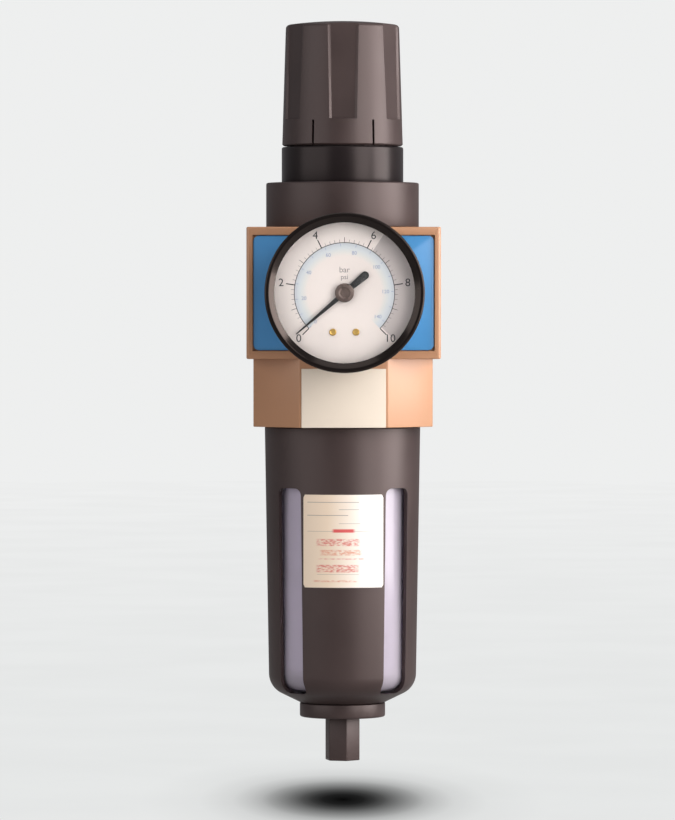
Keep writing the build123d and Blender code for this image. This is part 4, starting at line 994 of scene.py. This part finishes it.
turned("dial_disc", eased([(1.1, 21.8), (30.25, 21.8), (30.25, 22.6, 0.1), (1.1, 22.6, 0.1)]), "dial_white", "body",
       ["gauge_dial"], place=gaugeward, sides=128)
# The grey band on the dial's right is a painted shadow: the shade of the bezel's rim on the sunk dial, laid on as a
# thin grey sheet.
BEZEL_SHADOW_FROM, BEZEL_SHADOW_TO = -43.0, 56.0
dress(arc_band("blue_band", 15.0, 20.2, value_angle(0), value_angle(SCALE_TOP), thick=0.02), "blue_wash", "body",
      slot="dial_white")
dress(arc_band("bezel_shadow_band", 20.5, 29.0, BEZEL_SHADOW_FROM, BEZEL_SHADOW_TO, thick=0.02), "bezel_shadow_grey", "body", slot="dial_white")

marks = [dial_bar("mark", value_angle(v / 5), 20.4, 21.7 if v % 5 else 22.6, 0.13 if v % 5 else 0.2) for v in range(0, 51)]
marks += [dial_bar("long_mark", value_angle(v), 20.4, 24.0, 0.42) for v in range(0, 11, 2)]
marks += [numeral(str(v), value_angle(v), 26.2 if v in (0, 10) else 26.0, 4.5) for v in range(0, 11, 2)]
marks.append(arc_band("scale_line", 20.2, 20.5, value_angle(0), value_angle(SCALE_TOP)))
dress(join("outer_scale", marks), "scale_ink", "body", slot="pointer_black")

inner = [dial_bar("inner_mark", value_angle(v, 14.5), 18.9, 20.0, 0.16) for v in range(0, 15)]
inner += [numeral(str(10 * v), value_angle(v, 14.5), 16.6, 2.1) for v in range(0, 15, 2)]
dress(join("inner_scale", inner), "inner_ink", "body", slot="pointer_black")
units = [numeral("bar", 90, 9.3, 3.3), numeral("psi", 90, 6.4, 2.8)]
dress(join("unit_marks", units), "unit_ink", "body", slot="pointer_black")


def tint_blue_band():
    """Fades the band from the dial's white at its inner edge to pale blue at its rim."""
    look = finishes["blue_wash"]
    away = look.node("ShaderNodeVectorMath")
    away.operation = "SUBTRACT"
    away.inputs[1].default_value = (0.0, (FRONT_Y - DIAL_FRONT) * MM, AXIS_Z * MM)
    look.tree.links.new(look.space, away.inputs[0])
    distance = look.node("ShaderNodeVectorMath")
    distance.operation = "LENGTH"
    look.tree.links.new(away.outputs["Vector"], distance.inputs[0])
    share = look.node("ShaderNodeMapRange")
    share.inputs["From Min"].default_value = 15.0 * MM
    share.inputs["From Max"].default_value = 20.2 * MM
    look.tree.links.new(distance.outputs["Value"], share.inputs["Value"])
    stops = [(0.0, rgb(224, 212, 206)), (0.35, rgb(212, 210, 206)), (0.65, rgb(202, 205, 208)), (1.0, rgb(190, 193, 198))]
    look.link(look.ramp(share.outputs["Result"], *stops), "Base Color")


tint_blue_band()

# %% Pointer, hub and screws
POINTER_ANGLE = 220.5
TAIL_REACH, TAIL_HALF = 12.6, 1.62


def pointer_shape():
    aim = radians(POINTER_ANGLE)
    ahead, across = Vector((cos(aim), sin(aim))), Vector((-sin(aim), cos(aim)))
    end = TAIL_REACH - TAIL_HALF
    outline = [ahead * 25.8 + across * 0.22, ahead * 25.8 - across * 0.22, ahead * -3.5 - across * 1.2]
    for step in range(13):
        angle = pi * step / 12
        outline.append(ahead * (-end - TAIL_HALF * sin(angle)) - across * (TAIL_HALF * cos(angle)))
    outline.append(ahead * -3.5 + across * 1.2)
    return prism("dial_pointer", [tuple(p) for p in outline], dial_plane(24.0), 0.5, ease=0.12)


dress(pointer_shape(), "pointer_black", "pointer", ["pointer"])
cap = shape("pointer_cap", *lathe(eased([
    (0, 24.5), (3.9, 24.5, 0.1), (3.9, 25.0, 0.35), (2.4, 25.3, 0.3), (1.7, 25.0, 0.1), (0, 25.0)]), gaugeward, 64))
origin, across, up, out = dial_plane(24.8)
turn = radians(POINTER_ANGLE + 70)
along, aside = across * cos(turn) + up * sin(turn), up * cos(turn) - across * sin(turn)
combine(cap, [prism("slot", [(-5, -0.3), (5, -0.3), (5, 0.3), (-5, 0.3)], (origin, along, aside, out), 1.0)])
dress(cap, "hub_metal", "pointer", ["pointer_hub"], slot="zinc_steel")


def screw_head(x):
    def place(radius, angle, forward):
        spot = gaugeward(radius, angle, forward)
        return spot[0] + x * MM, spot[1], spot[2] - 15.9 * MM

    outline = [(0, 22.6), (1.45, 22.6), (1.45, 23.15, 0.2), (1.15, 23.4, 0.15), (0.85, 23.2, 0.1), (0, 23.2)]
    head = shape("screw", *lathe(eased(outline), place, 40))
    turn = radians(-30 if x < 0 else 25)
    origin, across, up, out = dial_plane(22.95, x, -15.9)
    along, aside = across * cos(turn) + up * sin(turn), up * cos(turn) - across * sin(turn)
    slot = prism("slot", [(-2, -0.2), (2, -0.2), (2, 0.2), (-2, 0.2)], (origin, along, aside, out), 1.0)
    return combine(head, [slot])


dress(join("dial_screw_pair", [screw_head(-4.7), screw_head(4.7)]), "brass_parts", "body", ["dial_screws"])

# %% [markdown]
# ## The works
# The remaining CAD parts keep their shape: springs, valve, filter, movement. They sit
# inside and show through the bowl's slots, so each still gets the finish of its metal,
# plastic or rubber.

# %% Finishes on the CAD parts
replaced = {"body_casting", "front_panel", "rear_panel", "name_plate", "bonnet", "neck_ring", "knob", "guard", "bowl_label",
            "bowl", "drain_nut", "drain_stem", "gauge_case", "gauge_bezel", "gauge_lens", "gauge_dial", "pointer",
            "pointer_hub", "dial_screws"}
slots_of = {entry["node"]: entry["material_slot"] for entry in frame["record"]["subparts"]}
kept = 0
for node, thing in frame["nodes"].items():
    if node in replaced:
        continue
    for index in range(max(1, len(thing.material_slots))):
        if not thing.material_slots:
            thing.data.materials.append(None)
        thing.material_slots[index].material = finishes[slots_of[node]].material
    kept += 1
print("kept CAD parts", kept)
